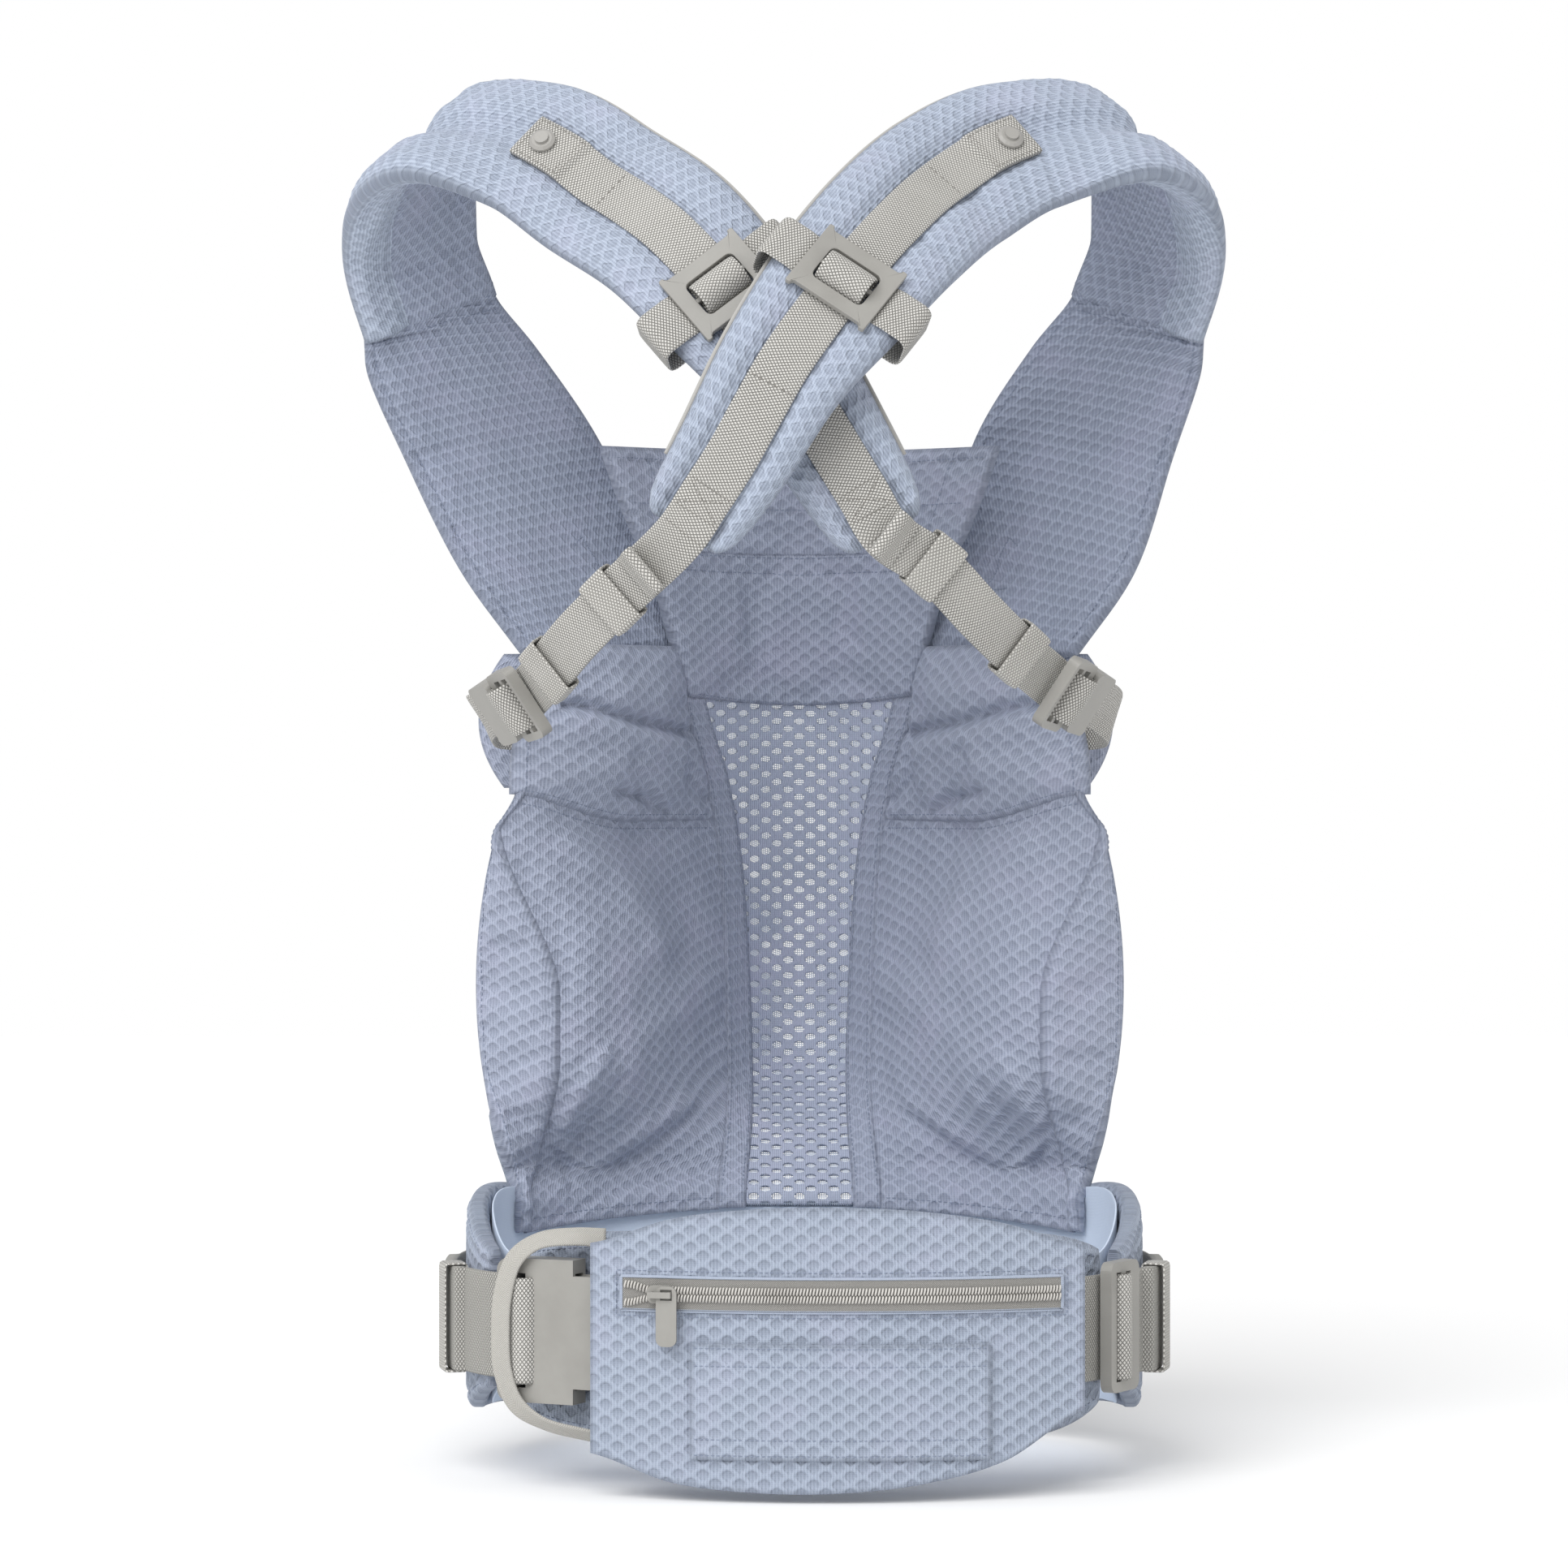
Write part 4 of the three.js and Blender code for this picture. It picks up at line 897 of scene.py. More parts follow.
def make_open_mesh():
    """The see-through strip: a net with real oval holes, in staggered rows."""
    wide, high = 12.0, 7.3
    columns, rows = 9, 36
    length = 268
    verts, faces, index = [], [], {}

    def vertex(a, b):
        key = (round(a * 8), round(b * 8))
        if key not in index:
            index[key] = len(verts)
            verts.append((a, b))
        return index[key]

    turns = np.radians(np.arange(0, 360, 22.5))
    hole = [(math.copysign(abs(c) ** 1.1, c) * 0.23814, math.copysign(abs(s) ** 1.1, s) * 0.22724)
            for c, s in zip(np.cos(turns), np.sin(turns))]
    quarter = [(1, 0), (1, 0.5), (1, 1), (0.5, 1)]
    square = [(c * x - s * y, s * x + c * y) for c, s in ((1, 0), (0, 1), (-1, 0), (0, -1)) for x, y in quarter]
    square = [(x * 0.25, y * 0.25) for x, y in square]
    for r in range(-1, 2 * rows + 1):
        for c in range(-columns, columns + 1):
            a, b = c + (0.5 if r % 2 else 0.0), r / 2
            ring = [vertex(a + x, b + y) for x, y in square]
            start = len(verts)
            verts.extend((a + x, b + y) for x, y in hole)
            faces += [(ring[k], ring[(k + 1) % 16], start + (k + 1) % 16, start + k) for k in range(16)]
            a += 0.5
            block = [vertex(a + x, b + y) for x, y in square[10:] + square[:10]]
            middle = vertex(a, b)
            faces += [(block[k], block[(k + 1) % 16], middle) for k in range(16)]
    flat = np.array(verts) * (wide, high)
    half = mesh_half(clamp(flat[:, 1] / length)) + 7
    inside = (np.abs(flat[:, 0]) <= half) & (flat[:, 1] > -4) & (flat[:, 1] < length + 4)
    faces = [f for f in faces if all(inside[i] for i in f)]
    used = sorted({i for f in faces for i in f})
    new = {old: i for i, old in enumerate(used)}
    flat = flat[used]
    faces = [tuple(new[i] for i in f) for f in faces]
    table_z = np.linspace(40, 306, 400)
    rise = travelled(np.stack([table_z, panel_depth(0 * table_z, table_z)], -1))
    z = np.interp(flat[:, 1] + 6, rise * length / rise[-1], table_z)
    x = flat[:, 0] / 1.02
    y = panel_depth(x, z) + 0.6 * waves(x, z, 8, 60.0)
    net = make_mesh("open_mesh", np.stack([x, y, z], -1), faces, flat, M_MESH)
    solid = net.modifiers.new("thick", "SOLIDIFY")
    solid.thickness = 1.1 * MM
    solid.offset = 0
    apply_modifiers(net)
    attach(net, nodes=["center_mesh"])


def apply_modifiers(piece):
    bpy.context.view_layer.update()
    done = bpy.data.meshes.new_from_object(piece.evaluated_get(bpy.context.evaluated_depsgraph_get()))
    old = piece.data
    piece.modifiers.clear()
    piece.data = done
    name = old.name
    bpy.data.meshes.remove(old)
    done.name = name
    done.polygons.foreach_set("use_smooth", np.full(len(done.polygons), True))


def line_mark(points, x, z, width):
    """How near (1 on it, 0 away) a point of the panel lies to a drawn line."""
    best = np.full(x.shape, 1e9)
    for (ax, az), (bx, bz) in zip(points[:-1], points[1:]):
        dx, dz = bx - ax, bz - az
        t = clamp(((x - ax) * dx + (z - az) * dz) / (dx * dx + dz * dz))
        best = np.minimum(best, np.hypot(x - ax - t * dx, z - az - t * dz))
    return ridge(best, width)


# Each crease: its height (a valley below 0), its width and its line in (x, z), mirrored on the other side.
PANEL_CREASES = (
    (-1.8, 1.6, (36, 58), (78, 55), (112, 45)), (0.9, 3.5, (36, 52), (78, 49), (112, 38)),
    (2.4, 3.0, (126, 80), (112, 66)), (2.6, 5.0, (60, 94), (95, 72), (120, 54)),
    (-2.2, 4.0, (60, 84), (92, 64)),
    (3.0, 4.0, (100, 122), (120, 88)), (-2.8, 3.2, (92, 108), (114, 74)),
    (-2.0, 2.4, (132, 104), (124, 74), (116, 50)), (-3.2, 9.0, (84, 232), (66, 204), (58, 170)),
    (3.0, 8.0, (116, 226), (92, 206), (74, 176)), (-2.4, 6.0, (140, 214), (124, 190), (118, 160)),
    (1.8, 10.0, (52, 150), (84, 128), (98, 100)))
GUSSET_CREASES = (
    (-7.0, 3.0, (122, 298), (112, 297), (92, 291), (60, 285)), (3.5, 7.0, (118, 288), (98, 283), (70, 277)),
    (2.5, 7.0, (100, 308), (80, 304)), (-6.0, 2.6, (68, 240), (80, 250), (98, 255)),
    (-5.0, 4.0, (52, 250), (60, 262), (63, 278)), (3.0, 9.0, (126, 262), (100, 268)),
    (-3.0, 3.0, (84, 252), (94, 268), (92, 276)))


def creases(table, points, side):
    x, z = points[..., 0] * side, points[..., 2]
    return sum(height * line_mark(line, x, z, width) for height, width, *line in table)


def make_panel():
    for name, side in PAIRS:
        surface = side_surface(side, lambda v: mesh_half(v) - 0.4, lambda v: binding_half(v) + 0.9, level(41),
                               level(304))
        tape = soft(f"binding_tape_{name}", surface, M_PLAIN, [f"binding_{name}"], (14, 275), 2.4, 3.5,
                    0.7, 2.5, 1.8, None, 0.15, 11 + side, None, panel_uv(surface))
        stitch_columns(tape, "root_blue", (0.16, 0.84), 0.01)
    make_open_mesh()
    base = middle_surface(lambda v: mesh_half(v) + 3, level(42), level(303))
    behind = lambda u, v: base(u, v) + np.array((0, 2.2, 0))
    net = soft("mesh_backing", behind, M_SCRIM, [], (80, 265), 3.4, 2.0, 0.15, 0.2, 0.2, None, 0.3, 15, None,
                 panel_uv(base))

    arc = lambda x: 299.5 + 4 * (np.abs(x) / 59) ** 2
    surface = middle_surface(lambda v: flap_half(mix(301, 378, v)) + 0.8, arc, level(379.0))
    seams = lambda u, v, x, y: -1.3 * ridge(y[:, -1:] - y - 11, 1.1)
    flap = soft("padded_flap", surface, M_PANEL, ["upper_flap"], (150, 92), 1.9, 5.0, 0.8, 4.4, 4.0, PANEL_KNIT,
                0.5, 21, seams, panel_uv(surface), lining=M_POUCH, puff=1.5)
    stitch_rows(flap, "root_blue", (0.865, 0.97), 0.03)
    stitch_on(flap, "root_blue", [(0.04, 0.03), (0.5, 0.025), (0.96, 0.03)])

    surface = middle_surface(lambda v: mix(80, 101, v**0.8), level(377.0), level(429))
    seams = lambda u, v, x, y: -1.2 * ridge(y[:, -1:] - y - 7, 1.0) - 1.2 * ridge(y - 24, 1.0)
    head = soft("head_support_cloth", surface, M_PANEL, ["head_support"], (186, 56), 1.9, 5.0, 1.0, 4.2, 4.0,
                PANEL_KNIT, 0.5, 22, seams, panel_uv(surface), body=None, lining=M_POUCH, puff=1.5)
    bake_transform(head.piece)
    stitch_rows(head, "head", (0.90, 0.47), 0.02)
    stitch_columns(head, "head", (0.1, 0.9), 0.03)

    low = lambda x: 41 - 9 * np.minimum(np.abs(x) / 140, 1) ** 2
    high = lambda x: waist_seam(x) + 1.2
    fold = lambda z: crease_half(z) - 13 * smooth(232, 258, z)
    side_edge = lambda z: np.maximum(outline_half(z), crease_half(z) + 5) - 14 * smooth(226, 258, z)
    for name, side in PAIRS:
        surface = side_surface(side, lambda v: binding_half_at(mix(low(45), high(45), v)) - 0.8,
                               lambda v: fold(mix(low(140), high(140), v)) + 1.2, low, high)

        def folds(u, v, x, y, surface=surface, side=side):
            return creases(PANEL_CREASES, surface(u, v), side) * smooth(0.0, 6.0, np.minimum(x, x[-1:] - x))

        cloth = soft(f"lower_panel_cloth_{name}", surface, M_PANEL, [f"lower_panel_{name}"], (100, 195),
                     1.9, 4.0, 0.8, 2.0, 1.8, PANEL_KNIT, 1.1, 31 + side, folds, panel_uv(surface),
                     lining=M_POUCH, follow=1.0)
        stitch_rows(cloth, "root_blue", (0.03, 0.97), 0.03)
        surface = side_surface(side, lambda v: fold(mix(33, 257, v)) - 0.8,
                               lambda v: side_edge(mix(33, 257, v)), level(33), level(257))
        wing = soft(f"leg_edge_{name}", surface, M_PANEL, [f"leg_wing_{name}"], (30, 205), 1.9, 8.0,
                    0.8, 6.4, 5.0, PANEL_KNIT, 0.8, 41 + side, None, panel_uv(surface), lining=M_POUCH,
                    puff=2.0)
        stitch_columns(wing, "root_blue", (0.1 if side < 0 else 0.9,), 0.03)


def make_gussets():
    def inner(v):
        z = mix(240, 325, v)
        return np.maximum(binding_half_at(z), flap_half(z)) - 0.8

    for name, side in PAIRS:
        surface = side_surface(side, inner, lambda v: 146 - 22 * v**3, lambda x: waist_seam(x) - 1.2,
                               lambda x: 329 - 15 * smooth(102, 146, np.abs(x)))

        def folds(u, v, x, y, surface=surface, side=side):
            return creases(GUSSET_CREASES, surface(u, v), side) * smooth(1.5, 8.0, np.minimum(y, y[:, -1:] - y))

        puff = lambda u, v, crown: (0.9 + 10.8 * (sine(u) * sine(v)) ** 0.42, 0.8 + 1.4 * crown)
        cushion = soft(f"side_cushion_{name}", surface, M_PANEL, [f"side_gusset_{name}"], (92, 82), 1.8, 7.0,
                       knit=PANEL_KNIT, wave=1.2, seed=51 + side, carve=folds, uv_from=panel_uv(surface),
                       shape=puff, lining=M_POUCH, puff=2.5)
        stitch_rows(cushion, "root_blue", (0.04,), 0.04)
        stitch_columns(cushion, "root_blue", (0.07 if side < 0 else 0.93,), 0.04)

        def pocket(u, v, s=side):
            z = mix(256, 324, v)
            outer_x = 139 + 24 * np.sin(np.pi * mix(0.12, 0.88, v)) ** 0.8
            x = s * mix(126, outer_x, u if s > 0 else 1 - u)
            return np.stack([x - (4 if s > 0 else 0), 66 + 0.25 * (np.abs(x) - 126), z], -1)

        flap = soft(f"buckle_pocket_cloth_{name}", pocket, M_PANEL, [f"buckle_pocket_{name}"], (32, 68),
                    1.8, 6.0, 1.0, 3.8, 3.6, PANEL_KNIT, 0.3, 61 + side)


WING_OUTER = ((-139, 54, 323), (-171, 64, 366), (-201, 74, 424), (-219, 66, 466), (-220, 63, 478),
              (-220, 59, 487))
WING_TUCK = ((-62, 121, 321), (-78, 119, 378), (-104, 105, 436), (-134, 85, 480), (-154, 76, 505),
             (-156, 70, 513))
WING_STEPS = 400


def wing_edge(points, side):
    """An edge of a wing. The right strap's foot lies nearer to the middle than the left one's."""
    p = np.array(points, float)
    p[:, 0] = -side * p[:, 0] - (16 if side > 0 else 0) * smooth(340, 470, p[:, 2])
    return centripetal(p, WING_STEPS)


def make_wings():
    puff = lambda u, v, crown: (1.0 + 2.6 * crown, 1.0 + 2.4 * crown)
    for name, side in PAIRS:
        edges = [wing_edge(points, side) for points in (WING_OUTER, WING_TUCK)][::1 if side < 0 else -1]

        def surface(u, v, edges=edges):
            x = clamp(v) * WING_STEPS
            i = np.minimum(x.astype(int), WING_STEPS - 1)
            f = (x - i)[..., None]
            return mix(*(e[i] * (1 - f) + e[i + 1] * f for e in edges), u[..., None])

        def folds(u, v, x, y, side=side):
            w = u if side < 0 else 1 - u
            total = -1.3 * ridge((w - 0.06) * 80, 1.3)
            total -= 1.2 * ridge((v - 0.80 - 0.05 * np.cos(w * 5)) * 190, 1.3)
            total -= 1.2 * ridge((w - 0.52 - 0.1 * v) * 80, 1.3) * smooth(0.78, 0.84, v)
            total += 1.0 * ridge((v - 0.42 + 0.18 * w) * 190, 9.0)
            return total + 0.9 * ridge((v - 0.28 + 0.1 * w) * 190, 7.0)

        wing = soft(f"wing_cloth_{name}", surface, M_WING[side], [f"strap_wing_{name}"], (84, 200), 1.9, 4.5,
                    knit=WING_KNIT[side], wave=1.3, seed=71 + side, carve=folds,
                    shape=puff, lining=M_POUCH, puff=1.5)
        loop = [(0.60, 0.22), (0.66, 0.235), (0.67, 0.20), (0.68, 0.155), (0.70, 0.14), (0.64, 0.135),
                (0.58, 0.14)]
        for line, *thread in (([(0.06, 0.03), (0.06, 0.97)],), ([(0.94, 0.03), (0.94, 0.97)],),
                              ([(0.08, 0.83), (0.5, 0.8), (0.92, 0.765)],), ([(0.58, 0.8), (0.62, 0.98)],),
                              (loop, 1.6, 1.3, 0.5)):
            stitch_on(wing, "root_blue", [(u if side < 0 else 1 - u, v) for u, v in line], *thread)


# --- shoulder straps ----------------------------------------------------------

LEFT_STRAP = (
    ((-187, 68, 494), (-0.31, 0.91, 0.25), 36), ((-196, 48, 528), (-0.36, 0.72, 0.6), 35),
    ((-180, -4, 574), (-0.65, -0.15, 0.75), 39), ((-131, -30, 568), (-0.22, -0.79, 0.56), 39),
    ((-96, -50, 544), (-0.15, -0.9, 0.4), 39), ((-64, -76, 520), (-0.1, -0.93, 0.3), 38),
    ((-37, -91, 490), (0, -0.97, 0.2), 36), ((-8, -104, 453), (0, -0.99, 0.1), 29),
    ((17, -110, 413), (0.02, -1, 0), 23), ((40, -110, 375), (0.05, -1, 0), 19))
RIGHT_STRAP = (
    ((171, 68, 494), (0.31, 0.91, 0.25), 36), ((180, 48, 528), (0.36, 0.72, 0.6), 35),
    ((162, -4, 574), (0.65, -0.15, 0.75), 39), ((107, -32, 568), (0.22, -0.79, 0.56), 39),
    ((73, -56, 548), (0.15, -0.9, 0.4), 39), ((45, -90, 521), (0.08, -0.95, 0.3), 38),
    ((19, -119, 489), (0, -0.97, 0.2), 36), ((-8, -136, 452), (0, -0.99, 0.1), 29),
    ((-32, -138, 410), (-0.02, -1, -0.05), 23), ((-55, -130, 375), (-0.1, -1, -0.1), 19))
STRAPS = {"left": LEFT_STRAP, "right": RIGHT_STRAP}
TO_LEFT_BUCKLE = (
    ((-88, -107, 345), (-0.3, -0.93, -0.2)), ((-106, -89, 328), (-0.5, -0.8, -0.33)),
    ((-120, -67, 313), (-0.62, -0.62, -0.42)), ((-133, -35, 301), (-0.75, -0.38, -0.54)))
TO_RIGHT_BUCKLE = (
    ((62, -106, 361), (0.25, -0.96, -0.15)), ((85, -89, 338), (0.45, -0.84, -0.3)),
    ((104, -66, 321), (0.62, -0.62, -0.42)), ((124, -35, 306), (0.75, -0.38, -0.54)))


def webbing_route(strap, free):
    """The webbing's line: on the strap, 8 mm out from its middle, then free to its buckle."""
    lift = 8.0
    route = Route(strap)
    riding = []
    for i in range(13):
        at, _, _, out = route.frame((3 + i / 2) / route.count)
        riding.append((tuple(at + out * lift), tuple(out)))
    return Route(riding + list(free))


def make_strap(name, strap, neck):
    """A padded shoulder strap. neck is 1 or -1: the side of its edge next to the wearer's neck."""
    route = Route(strap)
    halves = [s[2] for s in strap[:-3]] + [31, 27.5, 24.5]
    total = float(route.length[-1])

    def surface(u, v):
        w = 2 * v - 1
        trim = 12 * clamp((np.abs(w) - 0.6) / 0.4) ** 3 + 5 * ridge(w, 0.25)
        t = u * (1 - trim / total * smooth(0.6, 1.0, u))
        narrow = 1 - 0.04 * smooth(0.97, 1.0, u)
        return route.place(t, w * through(halves, t) * narrow, 0 * t)

    def puff(u, v, crown):
        """Two lobes beside the webbing, flatter under the slider and where the webbing leaves the strap."""
        w = np.abs(2 * v - 1)
        slides = np.exp(-(((u - 0.667) / 0.075) ** 4))
        bare = smooth(0.1, 0.18, u) * (1 - smooth(0.3, 0.36, u))
        lobe = smooth(mix(12, 1, bare), mix(20, 17, bare), w * through(halves, u))
        lobes = mix(5.4, 2.6, bare) + mix(4.4, 2.6, slides) * lobe * (smooth(0.06, 0.16, u) + 0.5 * bare)
        ends = np.sqrt(clamp(1 - clamp((u - 0.975) / 0.025) ** 2)) * (0.4 + 0.6 * smooth(0.0, 0.012, u))
        full = np.sqrt(clamp(1 - w**7)) * (0.1 + 0.9 * ends)
        s = (2 * v - 1) * neck
        welt = 3.6 * ridge(s + 0.72, 0.22) - 2.0 * ridge((s + 0.36) * 36, 1.8)
        return 0.8 + (lobes - 0.8) * full, 0.8 + (5.4 + (1 - smooth(0.3, 0.4, u)) * welt) * full

    folds = lambda u, v, x, y: -0.9 * ridge((np.abs(2 * v - 1) - 0.93) * 36, 1.2)

    cushion = soft(f"strap_cushion_{name}", surface, M_STRAP, [f"shoulder_strap_{name}"], (total, 72), 2.0, 6.0,
                   knit=STRAP_KNIT, wave=0.5, seed=81 if name == "left" else 83, carve=folds, shape=puff,
                   lining=M_STRAP_INNER, lined=(-0.36, 1) if neck > 0 else (-1, 0.36), puff=1.5)
    t = np.linspace(0.2, 0.93, 260)
    edge = route.place(t, neck * (through(halves, t) + 0.6), 0 * t - 0.5)
    tube(f"strap_piping_{name}", edge, 1.25, M_PIPING)


FINE_THREAD = {"pitch": 2.2, "length": 1.5, "thick": 0.4, "lift": 0.1}


def make_strap_webbing(name, strap, free):
    """The webbing of a strap. Its sewn tab and its folded spare end are one layer thicker."""
    route = webbing_route(strap, free)
    total = route.length[-1]
    tab = 31.0
    tail = [float(route.distance(route.t_at(station, past))) for station, past in ((13, -22), (15, 12))]

    def raised(d):
        return 1.8 * (1 - smooth(tab - 1, tab + 1, d)
                      + smooth(tail[0] - 1, tail[0] + 1, d) * smooth(tail[1] + 1, tail[1] - 1, d))

    webbing = strip(f"strap_webbing_cloth_{name}", route, WEBBING, 1.8, M_WEBBING,
                    [f"strap_webbing_{name}"], 1.2, raised=raised)
    end = float(route.distance(route.t_at(12)))
    tight, long, longer = (2.1, 1.4, 0.4, 0.1), (3.2, 2.6, 0.45, 0.1), (3.4, 2.8, 0.5, 0.1)
    for distance, inset, *thread in ((2.2, 0.05, *tight), (27.0, 0.05, *tight), (29.2, 0.05, *tight),
                                     (58.0, 0.06, *long), (end - 82, 0.05, *longer)):
        u = distance / total
        stitch_on(webbing, "root_grey", [(u, inset), (u, 1 - inset)], *thread)
    for v in (0.07, 0.93):
        stitch_on(webbing, "root_grey", [(2.2 / total, v), (29 / total, v)], 2.4, 1.6, 0.4, 0.1)
    stitch_columns(webbing, "root_grey", [(end - back) / total for back in (2, 12, 26)], 0.06, **FINE_THREAD)
    for v in (0.08, 0.92):
        stitch_on(webbing, "root_grey", [((end - 25) / total, v), ((end - 13) / total, 1 - v)], **FINE_THREAD)
    return route


def band_profile(half_w, half_h, radius):
    """A rectangle with round corners in (across, out), counterclockwise from its right side's top."""
    points = []
    for start, (x, y) in zip((0, 90, 180, 270), ((1, 1), (-1, 1), (-1, -1), (1, -1))):
        a = np.radians(np.linspace(start, start + 90, 10))
        points.append(np.stack([x * (half_w - radius) + radius * np.cos(a),
                                y * (half_h - radius) + radius * np.sin(a)], -1))
    return np.vstack(points)


def keeper_profile(half_w, half_h, rise=0.0):
    ring = band_profile(half_w - 0.65, half_h - 0.65, 1.3) + (0, rise)
    return np.vstack([ring, ring[:1]])[::-1]


def resample(points, step):
    p = np.asarray(points, float)
    far = travelled(p)
    keep = np.concatenate([[True], np.diff(far) > 1e-9])
    p, far = p[keep], far[keep]
    n = max(2, int(far[-1] / step))
    d = np.linspace(0, far[-1], n + 1)
    return np.stack([np.interp(d, far, p[:, k]) for k in range(p.shape[1])], -1), d


def loop_band(name, place, profile, width, wall, material, body, nodes=()):
    """A band of webbing bent along profile (across, out) points, width wide along the frame."""
    at, along, across, out = place
    line, far = resample(profile, 1.2)
    step = np.gradient(line, axis=0)
    side = unit(np.stack([step[:, 1], -step[:, 0]], -1))
    w, inside = selvedges(width, 8)

    def layer(offset):
        p = line[:, None] + side[:, None] * (offset * (0.4 + 0.6 * inside))[None, :, None]
        return at + along * w[None, :, None] + across * p[..., :1] + out * p[..., 1:]

    outer, inner = layer(wall / 2), layer(-wall / 2)
    piece = closed_skin(name, outer, inner, (w[None], far[:, None]), material)
    attach(piece, body, nodes)
    return Cloth(piece, outer, normals_of(outer), np.linspace(0, 1, len(line)), w / width + 0.5)


def slider_frame(strap):
    return Route(strap).frame(6 / 9)


def make_strap_fittings(name, strap, webbing):
    half_h = 10.05
    loop = band_profile(41.55, half_h, 5.0)
    corner = len(loop) // 4
    down = np.vstack([[(22.0, 9.2), (26.5, half_h)], np.roll(loop, -corner, axis=0)[::-1],
                      [(-26.5, half_h), (-22.0, 9.2)]])
    band = loop_band(f"slider_band_cloth_{name}", slider_frame(strap), down, 24, 1.5, M_WEBBING,
                     f"strap_slider_{name}", [f"slider_band_{name}"])
    stitch_columns(band, f"slider_{name}", (0.065, 0.075, 0.925, 0.935), 0.06, **FINE_THREAD)
    for which, station in (("upper", 13), ("lower", 15)):
        loop_band(f"keeper_{which}_cloth_{name}", webbing.frame(webbing.t_at(station)),
                  keeper_profile(15, 4.5, 1.1), 18, 1.3, M_KEEPER, f"keeper_{which}_{name}",
                  [f"keeper_{which}_{name}"])
    at, along, across, out = webbing.frame(webbing.t_at(13, -24.5))
    tail = [(5, 1.8), (0, 2.6), (-5, 5.0), (-8.5, 8.0), (-9.0, 10.0), (-7.0, 11.4), (-4.0, 10.2), (1, 5.0),
            (5, 3.6)]
    loop_band(f"folded_tail_{name}", (at, across, along, out), tail, WEBBING, 1.5, M_WEBBING, "root")


# --- waist webbing ------------------------------------------------------------


def upright(at, along):
    """A frame on the waist: its middle, along the webbing, across it (up) and out."""
    along = unit(np.array(along, float))
    up = np.array((0, 0, 1.0))
    return np.array(at, float), along, up, np.cross(along, up)


def under_adjuster(distance, depth):
    """A station under the adjuster, distance along it from its middle."""
    return (152 + 0.5 * distance - 0.866 * depth, -80 + 0.866 * distance + 0.5 * depth, 0), (0.866, -0.5, 0)


ON_BELT = 11
BELT_STATIONS = 24
TO_WAIST_SOCKET = ((-143.8, -76.5), (-137, -80.6), (-129, -84.2))


def waist_route(a, b, lead, trail):
    stations = list(lead)
    for d in np.linspace(a, b, BELT_STATIONS + 1):
        p = waist_point(d, ON_BELT, 0.0)
        stations.append((tuple(p), tuple(unit(waist_point(d, ON_BELT + 1, 0.0) - p))))
    return Route(stations + list(trail))


def make_waist_webbing():
    for name, a, b, fold in (("left", 168, 211, (176, 200)), ("right", -24, 12, (-21, 4))):
        lead = (under_adjuster(4, 4.9), under_adjuster(13, 5.2)) if name == "right" else ()
        trail = [((x, y, 0), (-0.5, -0.86, 0)) for x, y in TO_WAIST_SOCKET] if name == "left" else ()
        route = waist_route(a, b, lead, trail)
        f0, f1 = (float(route.distance((len(lead) + BELT_STATIONS * (f - a) / (b - a)) / route.count))
                  for f in fold)
        raised = lambda d, f0=f0, f1=f1: 4.6 * edge_round(np.minimum(d - f0, f1 - d), 2.4)
        webbing = strip(f"waist_webbing_cloth_{name}", route, WAIST_WEBBING, 2, M_WAIST,
                        [f"waist_webbing_{name}"], 1.0, 12, raised)
        ends = [(f0 + inset if name == "left" else f1 - inset) / route.length[-1] for inset in (5.0, 8.0)]
        stitch_columns(webbing, "root_grey", ends, 0.06, pitch=3.4, length=2.6, thick=0.5, lift=0.0)
    rear = Route((((-58, -120, 0), (0, -1, 0)), ((17, -125, 0), (0, -1, 0)), ((85, -121, 0), (0.1, -1, 0)),
                  ((120, -108, 0), (0.5, -0.87, 0)), ((139, -90, 0), (0.8, -0.6, 0)), under_adjuster(-8, 5.6)))
    strip("waist_webbing_cloth_rear", rear, WAIST_WEBBING, 2, M_WAIST, ["waist_webbing_rear"],
          lanes=12)
    for name, degrees in (("left", 193.5), ("right", -13.5)):
        at = waist_point(degrees, ON_BELT + 2.9, 0.0)
        along = waist_point(degrees + 2, ON_BELT, 0.0) - waist_point(degrees - 2, ON_BELT, 0.0)
        loop_band(f"waist_keeper_cloth_{name}", upright(at, along), keeper_profile(26.6, 6.0), 15, 1.3,
                  M_KEEPER, f"waist_keeper_{name}", [f"waist_keeper_{name}"])
    elastic = Route((((-92, -106, 44), (-0.1, -0.9, 0.4)), ((-107, -108, 45), (-0.2, -0.75, 0.6)),
                     ((-124, -105, 42.5), (-0.4, -0.7, 0.6)), ((-135, -103, 34), (-0.5, -0.85, 0.2)),
                     ((-140.5, -102, 18), (-0.42, -0.9, 0)), ((-141.8, -102, 0), (-0.42, -0.9, 0)),
                     ((-140.5, -102, -20), (-0.42, -0.9, 0)), ((-134, -103, -35), (-0.5, -0.85, -0.2)),
                     ((-121, -105, -43.5), (-0.4, -0.6, -0.7)), ((-98, -108, -49), (-0.1, -0.6, -0.8))))
    strip("safety_elastic_band", elastic, 9.6, 1.9, M_ELASTIC, ["safety_elastic"])


# --- pouch --------------------------------------------------------------------

POUCH_TOP = (44, 56, 61, 62, 60, 54, 43)
POUCH_BOTTOM = (-54, -66, -70, -70, -66, -56, -34)


POUCH_LEFT, POUCH_RIGHT = -101, 135
POUCH_MIDDLE = (POUCH_LEFT + POUCH_RIGHT) / 2
POUCH_RADIUS = 330
POUCH_BACK = -150
ZIP_HEIGHT = 21.5


